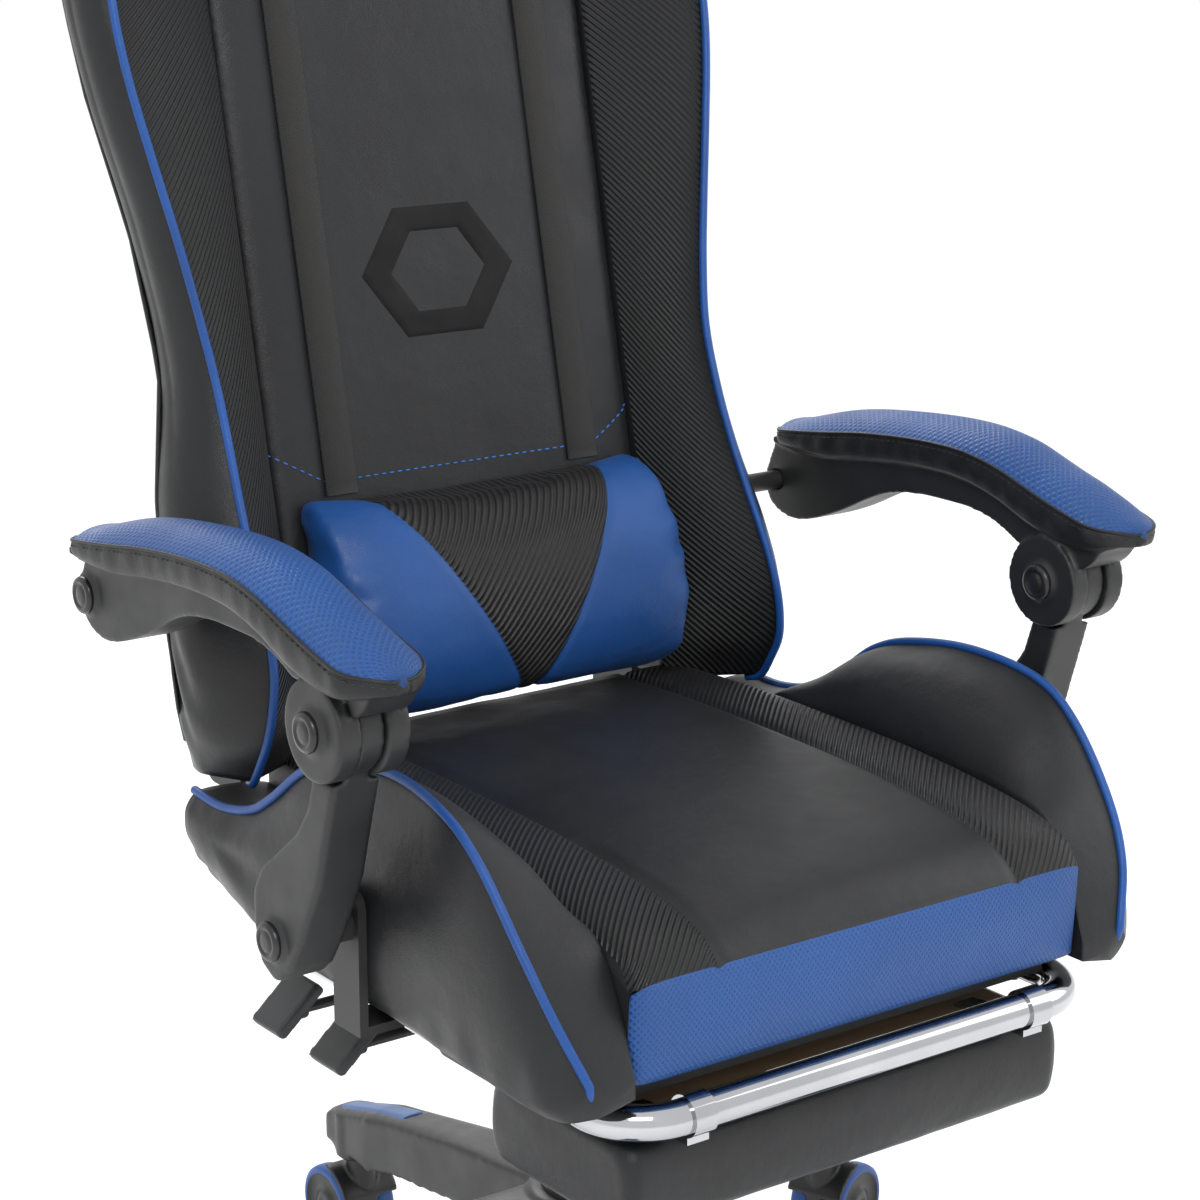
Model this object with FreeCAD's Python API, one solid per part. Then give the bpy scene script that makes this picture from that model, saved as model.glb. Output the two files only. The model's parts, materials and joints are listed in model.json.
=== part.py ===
import FreeCAD, Part
import math
import os

# Racing-style gaming chair: star base on twin-wheel casters, gas lift, tilt mechanism,
# bolstered seat, reclining back with lumbar and head pillows, linked armrests that stay level
# while the back reclines, and a footrest that slides out of the seat and flips over its tube.
#
# Frame: millimetres, origin on the floor under the column, +Z up, the sitter faces -Y.
# The sitter's left is +X. Everything is at rest: lift down, back upright, footrest stowed.
# The base and the column are drawn from the floor. All that the lift carries is drawn from the
# underside of the mechanism plate and then raised by SEAT_DATUM, so its heights are measured there.

V = FreeCAD.Vector
X, Y, Z = V(1, 0, 0), V(0, 1, 0), V(0, 0, 1)
ORIGIN = V(0, 0, 0)
SIDES = (("left", 1), ("right", -1))

# ---- clearances ---------------------------------------------------------------------------
RUNNING = 0.05           # radial clearance of a pin or rod that turns or slides in its bore
SOFT_GAP = 0.4           # between upholstery and a neighbour on another body
SIDE_GAP = 0.4           # between faces that pass each other at a hinge
LOOSE_PIVOT = 0.5        # radial clearance of the armrest's rear pivot, which closes the linkage
OVERCUT = 1              # how far a cutter reaches past the face that it opens

# ---- casters ------------------------------------------------------------------------------
WHEEL_R = 32.5
WHEEL_WIDTH = 17
WHEEL_EDGE = 3           # rounding of a wheel's edges
CASTER_WEB = 12          # thickness of the fork's middle plate, between the two wheels
CASTER_TRAIL = 20
STEM_R = 5.5
AXLE_R = 4
CASTER_NECK_R = 12
CASTER_HOOD_R = WHEEL_R + 3
CASTER_HOOD_WALL = 2.5
HOOD_REACH = (34, 4)     # the hood covers the wheels from here to here behind the axle
CASTER_BOSS_BOTTOM = 2 * WHEEL_R + 15
STEM_TOP = CASTER_BOSS_BOTTOM + 28

# ---- gas lift ------------------------------------------------------------------------------
LIFT_STROKE = 80
GAS_R = 14
GAS_WALL = 2.5
GAS_END = 8
ROD_R = 5
PISTON_THICKNESS = 8
BEARING_HEIGHT = 6
ROD_FLANGE_R = 12
ROD_FLANGE_HEIGHT = 3
OUTER_TUBE_R = GAS_R + 11
OUTER_TUBE_WALL = 2
TUBE_FLOOR = 3
BUSHING_LENGTH = 90

# ---- star base ----------------------------------------------------------------------------
LEGS = 5
LEG_REACH = 335
LEG_HUB_R = OUTER_TUBE_R + 20
HUB_BOTTOM = CASTER_BOSS_BOTTOM + 24
HUB_TOP = HUB_BOTTOM + 72
CASTER_R = LEG_REACH - 27
CASTER_BOSS_R = 20
# stations along a leg: distance from the column, half width, then underside and top above the
# casters' bosses
LEG_STATIONS = ((30, 26, 28, 94), (LEG_REACH - 185, 22, 28, 76), (LEG_REACH - 99, 20, 14, 59),
                (LEG_REACH - 67, 21, 5, 52), (LEG_REACH, 17, 7, 32))
LEG_SHOULDER = 8         # bevel along a leg's upper edges
CAP_FROM, CAP_TO = LEG_REACH - 105, LEG_REACH - 9
CAP_INSET = 7            # from the leg's side to the insert's
CAP_DEPTH = 3
CAP_PROUD = 1.2

# ---- column, from the base to the seat -------------------------------------------------------
OUTER_TUBE_Z = (HUB_BOTTOM - 9, HUB_TOP + 124)
SEAT_DATUM = OUTER_TUBE_Z[1] + 72        # underside of the mechanism plate
GAS_Z = (OUTER_TUBE_Z[0] + 15, SEAT_DATUM)
ROD_TOP = GAS_Z[0] + LIFT_STROKE + 100

# ---- tilt mechanism and levers, heights from SEAT_DATUM ---------------------------------------
PLATE_HALF = (100, 92)
PLATE_Z = (0, 6)
PLATE_CORNER = 14
PLATE_BOLT_XY = (78, 70)
BOLT_R = 4
BOLT_SLACK = 0.2
BOLT_HEAD_R = 8
BOLT_HEAD = 6
HOUSING_X = 55
HOUSING_Y = (-98, 74)
HOUSING_BOTTOM = -48
HOUSING_WALL = 3
SOCKET_WALL = 6
SPRING_TUBE_R = 20
KNOB_Y = -70
KNOB_R = 24
KNOB_HEIGHT = 30
KNOB_FLUTES = 8
KNOB_FLUTE_R = 4
KNOB_SCREW_R = 5
KNOB_SCREW_LENGTH = 29
SEAT_HALF = 178          # half width of the seat cushion between the wings
LEVER_Z = -31
LEVER_ROD_R = 3.5
LEVER_HOLE_SLACK = 1.5
LEVER_INNER_X = 46
LEVER_OUTER_X = SEAT_HALF + 26
LEVER_Y = {"height": -30, "recline": 42}
PADDLE_HALF_WIDTH = 17
PADDLE_THICKNESS = 9
PADDLE_CORNER = 3
PADDLE_SOCKET = 8        # length of the grip's collar on its rod
PADDLE_ROOT = (SEAT_HALF + 24, -8)
PADDLE_TIP = (SEAT_HALF + 56, -36)

# telescopic cover: inner radius, bottom and top of each sleeve, from the base upwards
COVER_WALL = 1.6
COVER_FOOT = (5, 3)      # width and height of the lowest sleeve's foot
COVERS = {"cover_bottom": (OUTER_TUBE_R + 6.4, HUB_TOP, HUB_TOP + 74),
          "cover_middle": (OUTER_TUBE_R + 3.8, HUB_TOP + 20, HUB_TOP + 114),
          "cover_top": (OUTER_TUBE_R + 1.2, HUB_TOP + 46, SEAT_DATUM + HOUSING_BOTTOM - 2)}

# ---- seat, heights from SEAT_DATUM ------------------------------------------------------------
WING_HALF = SEAT_HALF + 62               # half width over the wings
SEAT_BOTTOM = 21
SEAT_BACK_Y = 124
# cushion's upper outline from the front edge to the back: y, z
SEAT_TOP = ((-286, 80), (-280, 94), (-252, 107), (-200, 116), (-120, 122), (0, 124), (SEAT_BACK_Y, 123))
SEAT_FRONT_UNDER = -281                  # where the cushion's underside starts
# wing stations: y, crest height, the crest's and the outer face's distance inside the greatest
# half width, underside
WING_STATIONS = ((-286, 32, 30, 26, 12), (-272, 70, 16, 12, 8), (-250, 106, 9, 6, 10),
               (-214, 148, 7, 2, 14), (-178, 169, 7, 0, 16), (-120, 176, 11, 0, 18),
               (-60, 168, 11, 0, 19), (-18, 153, 9, 0, 20), (21, 125, 8, 0, 24), (49, 107, 8, 0, 30),
               (SEAT_BACK_Y, 102, 8, 2, 52))
WING_CREST_DROP = 14
WING_ROOT = 4                            # how far the wing's inner edge hangs below the cushion
FRAME_Z = (6, 20.6)
FRAME_OUTER = (SEAT_HALF - 12, -262, 150)    # half width, front, back
FRAME_BAR = 24
FRAME_CROSS_Y = (-70, 70)

# ---- footrest, heights from SEAT_DATUM --------------------------------------------------------
RAIL_X = SEAT_HALF + 6
RAIL_R = 11
RAIL_WALL = 1.5
RAIL_Z = -4
RAIL_FRONT_Y = -284
RAIL_BACK_Y = 112
RAIL_BEND = 40
SLEEVE_WALL = 2.6
SLEEVE_Y = (-222, -110)
SLEEVE_LUG = (10, 12)    # how far a lug reaches inside the rail's centre and under the frame
PAD_HALF = SEAT_HALF - 4
PAD_Y = (-273, -128)
PAD_BOTTOM = -80
PAD_ROUND = 10
BOARD_Z = (-27, -21)
BOARD_INSET = 12
CLAMP_WIDTH = 16
CLAMP_WALL = 2
CLAMP_X = RAIL_X - RAIL_BEND - CLAMP_WIDTH / 2 - 2   # just inside the bar's bends
CLAMP_TAB = 60           # length of a clamp's tab on the board

# ---- back, heights from SEAT_DATUM ------------------------------------------------------------
LEAN = math.tan(math.radians(12))
PANEL_REF = (158, 289)    # a point (y, z) on the front of the middle panel
FOAM = 30
FRAME_TUBE_R = 11
FRAME_TUBE_BACK = 44      # tube's centre behind the panel's front
CROSS_TUBE_R = 8
CROSS_TUBE_Z = (228, 488)
FRAME_TUBE_Z = (130, 588, 718, 818)      # foot, shoulder bends, head bends, top
COVER_BACK = 62
COVER_SKIN = 4
COVER_OFF = 2             # gap between the cushions' rear edges and the cover
COVER_TURN = 34           # width of the cover's slanting flanks
PANEL_HALF = SEAT_HALF - 28
FRAME_TUBE_X = PANEL_HALF + 7
FRAME_HEAD_X = PANEL_HALF - 40
CUSHION_Z = (128, 628)
HEAD_Z = 630
SHOULDER_Z = 708
# side stations: z, half width and crest beyond the panel's edge, crest y, rear edge y
SIDE_STATIONS = ((115, 82, 62, 82, 142), (148, 90, 62, 64, 140), (188, 91, 57, 62, 144),
               (228, 89, 54, 79, 158), (288, 79, 51, 108, 180), (368, 64, 50, 138, 196),
               (458, 74, 64, 158, 212), (548, 93, 82, 178, 230), (613, 99, 87, 194, 246),
               (663, 88, 74, 212, 258), (SHOULDER_Z, 56, 42, 230, 278))
BOLSTER_FLANK = 22        # from the crest back to the outer face
# head stations: z, half width beyond the panel's edge
HEAD_STATIONS = ((SHOULDER_Z + 1, 54), (736, 28), (768, 15), (823, 7), (850, -2), (864, -22))
HEAD_CROWN = 10           # how far the head panel stands in front of the middle panel
HEAD_BEVEL = (16, 14)     # bevel of the head panel's front edges
COVER_BOTTOM_Z = 133
COVER_TOP_Z = 854
COVER_LID = 4
HARNESS_X = PANEL_HALF - 50
HARNESS_Z = 670
HARNESS_HALF = (36, 21)   # half width and half height of the opening in the upholstery
HARNESS_ROUND = 16
BEZEL_WALL = 4
BEZEL_LIP = 6
BEZEL_PROUD = 3
STRAP_WIDTH = 24
STRAP_THICKNESS = 1.8
LUMBAR_HALF = PANEL_HALF - 9
LUMBAR_Z = (128, 286)
LUMBAR_DEPTH = 78
LUMBAR_EDGE = 8           # depth of the lumbar pillow's upper and lower faces
HEADREST_HALF = PANEL_HALF - 18
HEADREST_Z = (720, 824)
HEADREST_DEPTH = 62

# ---- linkage, heights from SEAT_DATUM: recline pivot, and one armrest's three pivots, as (y, z) --
RECLINE = (195, 98)
ARM_FRONT = (-153, 227)
POST_FOOT = (-90, 80)
# the fourth point makes the linkage a parallelogram, so the armrest stays level
ARM_REAR = (RECLINE[0] + ARM_FRONT[0] - POST_FOOT[0], RECLINE[1] + ARM_FRONT[1] - POST_FOOT[1])
PIN_R = 6
HINGE_DISC_R = 24
SEAT_HINGE_X = (SEAT_HALF - 18, SEAT_HALF - 13)
BACK_HINGE_X = (SEAT_HALF - 10, SEAT_HALF - 5)

# ---- armrests, heights from SEAT_DATUM, sides from the wings' outer faces -----------------------
ARM_X = (WING_HALF + 25, WING_HALF + 60)
FLANGE_X = (WING_HALF + 20, WING_HALF + 74)
FLANGE = 5
EAR_R = 31
TONGUE_R = 28
EAR_OUTER_X = (WING_HALF + 52, WING_HALF + 67)
EAR_INNER_X = (WING_HALF + 20, WING_HALF + 35)
TONGUE_X = (EAR_INNER_X[1] + SIDE_GAP, EAR_OUTER_X[0] - SIDE_GAP)
CAP_R = 13
CAP_HEIGHT = 3
POST_X = (WING_HALF + 27, WING_HALF + 59)
POST_WALL = 4             # material between the foot pin's end and the post's outer face
REAR_PIN_R = 7
REAR_PIN_END = WING_HALF + 53
BRACKET_X = (WING_HALF + 4, WING_HALF + 10)
BRACKET_HALF = 15
BRACKET_Z = (RAIL_Z + 14, RAIL_Z + 20)   # the bracket's foot passes over the rail
BRACKET_TOP = 22          # bracket above the foot pivot
# underside of the armrest pad from the back end to the front: y, z
PAD_SEAT = ((132, 279), (75, 278), (30, 284), (-12, 288), (-49, 289), (-78, 287), (-108, 280),
            (-135, 270), (-159, 264), (-189, 261), (-212, 265))
PAD_CROWN = ((-219, 276), (-196, 283), (-171, 293), (-131, 307), (-91, 315), (-51, 317), (8, 313),
             (66, 305), (122, 290))
# underside of the arm frame from its front end to the back
ARM_UNDER = ((-200, 254), (-184, 240), (-128, 245), (-110, 254), (-87, 261), (-52, 263), (-21, 262),
             (18, 254), (50, 239), (84, 225), (114, 219), (136, 226), (144, 250))
# outline of a front post: front edge downwards, foot, rear edge upwards
POST_FRONT = ((-168, 214), (-160, 188), (-149, 152), (-142, 128), (-122, 90), (-106, 65))
POST_REAR = ((-90, 52), (-72, 61), (-66, 82), (-66, 106), (-76, 122), (-93, 135), (-117, 154),
             (-131, 173), (-138, 194), (-138, 214))


# ============================ shape helpers ==================================================
def box(x, y, z):
    """Block between two limits along each axis."""
    return Part.makeBox(x[1] - x[0], y[1] - y[0], z[1] - z[0], V(x[0], y[0], z[0]))


def cylinder(radius, start, axis, length):
    return Part.makeCylinder(radius, length, start, axis)


def ring(outer, inner, start, axis, length):
    return cylinder(outer, start, axis, length).cut(cylinder(inner, start, axis, length))


def crosswise(radius, yz, x):
    """Cylinder along X through the point yz, between two x limits."""
    return cylinder(radius, V(x[0], yz[0], yz[1]), X, x[1] - x[0])


def mirrored(shape):
    return shape.mirror(ORIGIN, X)


def to_side(shape, side):
    return shape if side > 0 else mirrored(shape)


def loop(points, radius=0.0):
    """Closed wire through coplanar points, with its corners rounded as far as its edges allow."""
    edges = []
    starts, ends, mids = [], [], []
    count = len(points)
    for i in range(count):
        here = points[i]
        before = points[i - 1] - here
        after = points[(i + 1) % count] - here
        half = before.getAngle(after) / 2
        reach = min(radius / math.tan(half), 0.45 * min(before.Length, after.Length)) if radius else 0
        fillet = reach * math.tan(half)
        towards_before = V(before).normalize()
        towards_after = V(after).normalize()
        starts.append(here + towards_before * reach)
        ends.append(here + towards_after * reach)
        bisector = towards_before + towards_after
        flat = bisector.Length < 1e-6 or fillet < 1e-6
        depth = 0 if flat else fillet / math.sin(half) - fillet
        mids.append(None if flat else here + bisector.normalize() * depth)
    for i in range(count):
        if mids[i] is not None:
            edges.append(Part.Arc(starts[i], mids[i], ends[i]).toShape())
        following = starts[(i + 1) % count]
        if (following - ends[i]).Length > 1e-6:
            edges.append(Part.LineSegment(ends[i], following).toShape())
    return Part.Wire(edges)


def side_plate(yz, x, radius=0.0):
    """Outline in the YZ plane, extruded between two x limits."""
    wire = loop([V(x[0], y, z) for y, z in yz], radius)
    return Part.Face(wire).extrude(X * (x[1] - x[0]))


def front_plate(xz, y, radius=0.0):
    """Outline in the XZ plane, extruded between two y limits."""
    wire = loop([V(px, y[0], pz) for px, pz in xz], radius)
    return Part.Face(wire).extrude(Y * (y[1] - y[0]))


def smooth_side(lower, upper, x):
    """Solid between two smooth curves in the YZ plane, extruded between two x limits."""
    first = Part.BSplineCurve()
    first.interpolate([V(x[0], y, z) for y, z in lower])
    second = Part.BSplineCurve()
    second.interpolate([V(x[0], y, z) for y, z in upper])
    closing = [(lower[-1], upper[0]), (upper[-1], lower[0])]
    lines = [Part.LineSegment(V(x[0], *a), V(x[0], *b)).toShape() for a, b in closing]
    wire = Part.Wire([first.toShape(), lines[0], second.toShape(), lines[1]])
    return Part.Face(wire).extrude(X * (x[1] - x[0]))


def loft(sections):
    """Ruled solid through a list of polygons."""
    wires = [Part.makePolygon(list(points) + [points[0]]) for points in sections]
    return Part.makeLoft(wires, True, True)


def panel_y(z):
    """Front of the middle panel of the back at a height."""
    return PANEL_REF[0] + (z - PANEL_REF[1]) * LEAN


def between(stations, at):
    """Station interpolated at a position, for stations sorted by their first value."""
    for low, high in zip(stations, stations[1:]):
        if low[0] <= at <= high[0]:
            share = (at - low[0]) / (high[0] - low[0])
            return tuple(a + (b - a) * share for a, b in zip(low, high))
    return stations[0] if at < stations[0][0] else stations[-1]


def turned(shape, angle):
    copy = shape.copy()
    copy.rotate(ORIGIN, Z, angle)
    return copy


# ============================ star base ======================================================
def leg_section(station, depth=None, inset=0.0, proud=0.0):
    """Section of a leg, or of the insert in its top when a depth is given."""
    reach, half, under, top = station
    low = CASTER_BOSS_BOTTOM + (under if depth is None else top - depth)
    high = CASTER_BOSS_BOTTOM + top + proud
    half = half - inset
    shoulder = min(LEG_SHOULDER, half / 2)
    return [V(half, reach, low), V(half, reach, high - shoulder / 2), V(half - shoulder, reach, high),
            V(shoulder - half, reach, high), V(-half, reach, high - shoulder / 2), V(-half, reach, low)]


def cap_stations():
    inner = between(LEG_STATIONS, CAP_FROM)
    outer = between(LEG_STATIONS, CAP_TO)
    middle = [s for s in LEG_STATIONS if CAP_FROM < s[0] < CAP_TO]
    return [inner] + middle + [outer]


def leg_cap():
    """Insert on top of a leg's end, drawn for the leg that points to +Y."""
    return loft([leg_section(s, CAP_DEPTH, CAP_INSET, CAP_PROUD) for s in cap_stations()])


def caster_angle(index):
    return index * 360 / LEGS


def star_base():
    leg = loft([leg_section(s) for s in LEG_STATIONS])
    boss_height = between(LEG_STATIONS, CASTER_R)[3] - CAP_DEPTH - 1
    boss = cylinder(CASTER_BOSS_R, V(0, CASTER_R, CASTER_BOSS_BOTTOM), Z, boss_height)
    leg = leg.fuse(boss).cut(leg_cap())
    stem_hole = cylinder(STEM_R + RUNNING, V(0, CASTER_R, 0), Z, STEM_TOP + OVERCUT)
    hub = cylinder(LEG_HUB_R, V(0, 0, HUB_BOTTOM), Z, HUB_TOP - HUB_BOTTOM)
    shape = hub.multiFuse([turned(leg, caster_angle(i)) for i in range(LEGS)])
    shape = shape.cut(cylinder(OUTER_TUBE_R, ORIGIN, Z, HUB_TOP + OVERCUT))
    for i in range(LEGS):
        shape = shape.cut(turned(stem_hole, caster_angle(i)))
    return shape.removeSplitter()


def leg_caps():
    return Part.makeCompound([turned(leg_cap(), caster_angle(i)) for i in range(LEGS)])


def caster_fork():
    """Fork with its stem and axle, drawn for the caster under the leg that points to +Y."""
    wheel_y = CASTER_R + CASTER_TRAIL
    centre = (wheel_y, WHEEL_R)
    web = (-CASTER_WEB / 2, CASTER_WEB / 2)
    over = (-CASTER_WEB / 2 - WHEEL_WIDTH - 1, CASTER_WEB / 2 + WHEEL_WIDTH + 1)
    covered = (wheel_y - HOOD_REACH[0], wheel_y - HOOD_REACH[1])
    hood_outer_r = CASTER_HOOD_R + CASTER_HOOD_WALL
    plate = crosswise(WHEEL_R - 5, centre, web)
    hood = crosswise(hood_outer_r, centre, over)
    hood = hood.cut(crosswise(CASTER_HOOD_R, centre, (over[0] - OVERCUT, over[1] + OVERCUT)))
    hood = hood.common(box(over, covered, (WHEEL_R + 14, WHEEL_R + hood_outer_r)))
    rib = box(web, covered, (WHEEL_R, WHEEL_R + CASTER_HOOD_R))
    rib = rib.common(crosswise(hood_outer_r, centre, web))
    neck_low = WHEEL_R + CASTER_NECK_R
    neck = cylinder(CASTER_NECK_R, V(0, CASTER_R, neck_low), Z, CASTER_BOSS_BOTTOM - 0.2 - neck_low)
    neck = neck.cut(crosswise(CASTER_HOOD_R, centre, (over[0], web[0])))
    neck = neck.cut(crosswise(CASTER_HOOD_R, centre, (web[1], over[1])))
    stem_low = WHEEL_R + CASTER_TRAIL
    stem = cylinder(STEM_R, V(0, CASTER_R, stem_low), Z, STEM_TOP - stem_low)
    axle = crosswise(AXLE_R, centre, (over[0] + 1, over[1] - 1))
    fork = plate.multiFuse([hood, rib, neck]).cut(stem).cut(axle)
    return Part.makeCompound([fork, stem, axle])


def caster_wheel(side):
    inner = CASTER_WEB / 2 + SIDE_GAP
    centre = (CASTER_R + CASTER_TRAIL, WHEEL_R)
    wheel = crosswise(WHEEL_R, centre, (inner, inner + WHEEL_WIDTH))
    wheel = wheel.cut(crosswise(AXLE_R + RUNNING, centre, (0, inner + WHEEL_WIDTH + OVERCUT)))
    rims = [e for e in wheel.Edges if abs(e.Length - 2 * math.pi * WHEEL_R) < 0.1]
    return to_side(wheel.makeFillet(WHEEL_EDGE, rims), side)


# ============================ gas lift =======================================================
def outer_tube():
    low, high = OUTER_TUBE_Z
    tube = ring(OUTER_TUBE_R, OUTER_TUBE_R - OUTER_TUBE_WALL, V(0, 0, low), Z, high - low)
    floor = cylinder(OUTER_TUBE_R - OUTER_TUBE_WALL, V(0, 0, low), Z, TUBE_FLOOR)
    return tube.fuse(floor).removeSplitter()


def tube_bearings():
    """Guide bushing at the top of the outer tube and thrust bearing at its floor."""
    inside = OUTER_TUBE_R - OUTER_TUBE_WALL
    top = OUTER_TUBE_Z[1]
    bushing = ring(inside, GAS_R + RUNNING, V(0, 0, top - BUSHING_LENGTH), Z, BUSHING_LENGTH)
    floor = OUTER_TUBE_Z[0] + TUBE_FLOOR
    bearing = cylinder(ROD_FLANGE_R, V(0, 0, floor), Z, BEARING_HEIGHT - TUBE_FLOOR)
    return Part.makeCompound([bushing, bearing])


def piston_rod():
    low = OUTER_TUBE_Z[0] + BEARING_HEIGHT + RUNNING
    rod = cylinder(ROD_R, V(0, 0, low), Z, ROD_TOP - low)
    flange = cylinder(ROD_FLANGE_R, V(0, 0, low), Z, ROD_FLANGE_HEIGHT)
    piston_r = GAS_R - GAS_WALL - RUNNING
    piston = cylinder(piston_r, V(0, 0, ROD_TOP - PISTON_THICKNESS), Z, PISTON_THICKNESS)
    return rod.multiFuse([flange, piston]).removeSplitter()


def gas_cylinder():
    low, high = GAS_Z
    body = cylinder(GAS_R, V(0, 0, low), Z, high - low)
    body = body.cut(cylinder(GAS_R - GAS_WALL, V(0, 0, low + GAS_END), Z, high - low - 4 * GAS_END))
    return body.cut(cylinder(ROD_R + RUNNING, V(0, 0, low - OVERCUT), Z, GAS_END + 2 * OVERCUT))


def cover_sleeve(name):
    inner, low, high = COVERS[name]
    sleeve = ring(inner + COVER_WALL, inner, V(0, 0, low), Z, high - low)
    if name == "cover_bottom":
        foot = ring(inner + COVER_FOOT[0], inner, V(0, 0, low), Z, COVER_FOOT[1])
        return sleeve.fuse(foot).removeSplitter()
    return sleeve


# ============================ tilt mechanism =================================================
def plate_bolts(radius, low, high):
    places = [(sx * PLATE_BOLT_XY[0], sy * PLATE_BOLT_XY[1]) for sx in (-1, 1) for sy in (-1, 1)]
    return [cylinder(radius, V(px, py, low), Z, high - low) for px, py in places]


def mechanism_plate():
    x, y = PLATE_HALF
    plate = box((-x, x), (-y, y), PLATE_Z)
    upright = [e for e in plate.Edges if abs(e.Vertexes[0].Z - e.Vertexes[-1].Z) > 1]
    plate = plate.makeFillet(PLATE_CORNER, upright)
    for hole in plate_bolts(BOLT_R + BOLT_SLACK, PLATE_Z[0] - OVERCUT, PLATE_Z[1] + OVERCUT):
        plate = plate.cut(hole)
    return plate


def mechanism_bolts():
    heads = []
    low = PLATE_Z[0] - BOLT_HEAD
    shanks = plate_bolts(BOLT_R, low, FRAME_Z[1] - 2)
    for shank, head in zip(shanks, plate_bolts(BOLT_HEAD_R, low, PLATE_Z[0])):
        heads.append(shank.fuse(head).removeSplitter())
    return Part.makeCompound(heads)


def lever_hole(name):
    hole_x = (-HOUSING_X - OVERCUT, -HOUSING_X + HOUSING_WALL + OVERCUT)
    return crosswise(LEVER_ROD_R + LEVER_HOLE_SLACK, (LEVER_Y[name], LEVER_Z), hole_x)


def mechanism_housing():
    """Pressed box under the plate with the gas lift's socket and the tilt spring's tube."""
    wall = HOUSING_WALL
    outer = box((-HOUSING_X, HOUSING_X), HOUSING_Y, (HOUSING_BOTTOM, PLATE_Z[0]))
    inner = box((-HOUSING_X + wall, HOUSING_X - wall), (HOUSING_Y[0] + wall, HOUSING_Y[1] - wall),
                (HOUSING_BOTTOM + wall, PLATE_Z[0] + OVERCUT))
    height = PLATE_Z[0] - HOUSING_BOTTOM
    below = HOUSING_BOTTOM - OVERCUT
    socket = cylinder(GAS_R + SOCKET_WALL, V(0, 0, HOUSING_BOTTOM), Z, height)
    spring = cylinder(SPRING_TUBE_R, V(0, KNOB_Y, HOUSING_BOTTOM), Z, height - 2)
    shape = outer.cut(inner).multiFuse([socket, spring])
    shape = shape.cut(cylinder(GAS_R, V(0, 0, below), Z, height + 2 * OVERCUT))
    screw_hole = cylinder(KNOB_SCREW_R + RUNNING, V(0, KNOB_Y, below), Z, KNOB_SCREW_LENGTH + 7)
    shape = shape.cut(screw_hole)
    for name in LEVER_Y:
        shape = shape.cut(lever_hole(name))
    return shape.removeSplitter()


def tension_knob():
    top = HOUSING_BOTTOM - SIDE_GAP
    knob = cylinder(KNOB_R, V(0, KNOB_Y, top - KNOB_HEIGHT), Z, KNOB_HEIGHT)
    screw = cylinder(KNOB_SCREW_R, V(0, KNOB_Y, top - OVERCUT), Z, KNOB_SCREW_LENGTH + OVERCUT)
    for i in range(KNOB_FLUTES):
        flute = cylinder(KNOB_FLUTE_R, V(0, KNOB_R + 1.5, -OVERCUT), Z, KNOB_HEIGHT + 2 * OVERCUT)
        flute.rotate(ORIGIN, Z, i * 360 / KNOB_FLUTES)
        flute.translate(V(0, KNOB_Y, top - KNOB_HEIGHT))
        knob = knob.cut(flute)
    return knob.fuse(screw).removeSplitter()


def lever_rod(name):
    return crosswise(LEVER_ROD_R, (LEVER_Y[name], LEVER_Z), (-LEVER_OUTER_X, -LEVER_INNER_X))


def lever_paddle(name):
    """Flat grip at the end of a lever rod, sloping down and outwards."""
    rx, rz = PADDLE_ROOT
    tx, tz = PADDLE_TIP
    length = math.hypot(tx - rx, tz - rz)
    ox, oz = (rz - tz) / length * PADDLE_THICKNESS, (tx - rx) / length * PADDLE_THICKNESS
    outline = [(-rx, rz), (-tx, tz), (-tx + ox, tz - oz), (-rx + ox, rz - oz)]
    y = LEVER_Y[name]
    grip = front_plate(outline, (y - PADDLE_HALF_WIDTH, y + PADDLE_HALF_WIDTH), PADDLE_CORNER)
    collar = crosswise(LEVER_ROD_R + 3, (y, LEVER_Z), (-rx - PADDLE_SOCKET, -rx))
    return grip.fuse(collar).cut(lever_rod(name)).removeSplitter()


# ============================ seat ===========================================================
def seat_frame():
    half, front, back = FRAME_OUTER
    low, high = FRAME_Z
    outer = box((-half, half), (front, back), (low, high))
    inner = box((FRAME_BAR - half, half - FRAME_BAR), (front + FRAME_BAR, back - FRAME_BAR),
                (low - OVERCUT, high + OVERCUT))
    bars = []
    for y in FRAME_CROSS_Y:
        bars.append(box((FRAME_BAR - half - 1, half - FRAME_BAR + 1), (y - FRAME_BAR / 2, y + FRAME_BAR / 2),
                        (low, high)))
    shape = outer.cut(inner).multiFuse(bars).removeSplitter()
    for hole in plate_bolts(BOLT_R, low - OVERCUT, high - 2):
        shape = shape.cut(hole)
    return shape


def seat_cushion():
    x = (SOFT_GAP - SEAT_HALF, SEAT_HALF - SOFT_GAP)
    under = ((SEAT_BACK_Y, SEAT_BOTTOM), (SEAT_FRONT_UNDER, SEAT_BOTTOM))
    wire = [V(x[0], *p) for p in under] + [V(x[0], *SEAT_TOP[0])]
    crown = Part.BSplineCurve()
    crown.interpolate([V(x[0], *p) for p in SEAT_TOP])
    edges = [Part.LineSegment(a, b).toShape() for a, b in zip(wire, wire[1:])]
    edges.append(crown.toShape())
    edges.append(Part.LineSegment(V(x[0], *SEAT_TOP[-1]), wire[0]).toShape())
    return Part.Face(Part.Wire(edges)).extrude(X * (x[1] - x[0]))


def cushion_height(y):
    return between(SEAT_TOP, y)[1]


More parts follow.
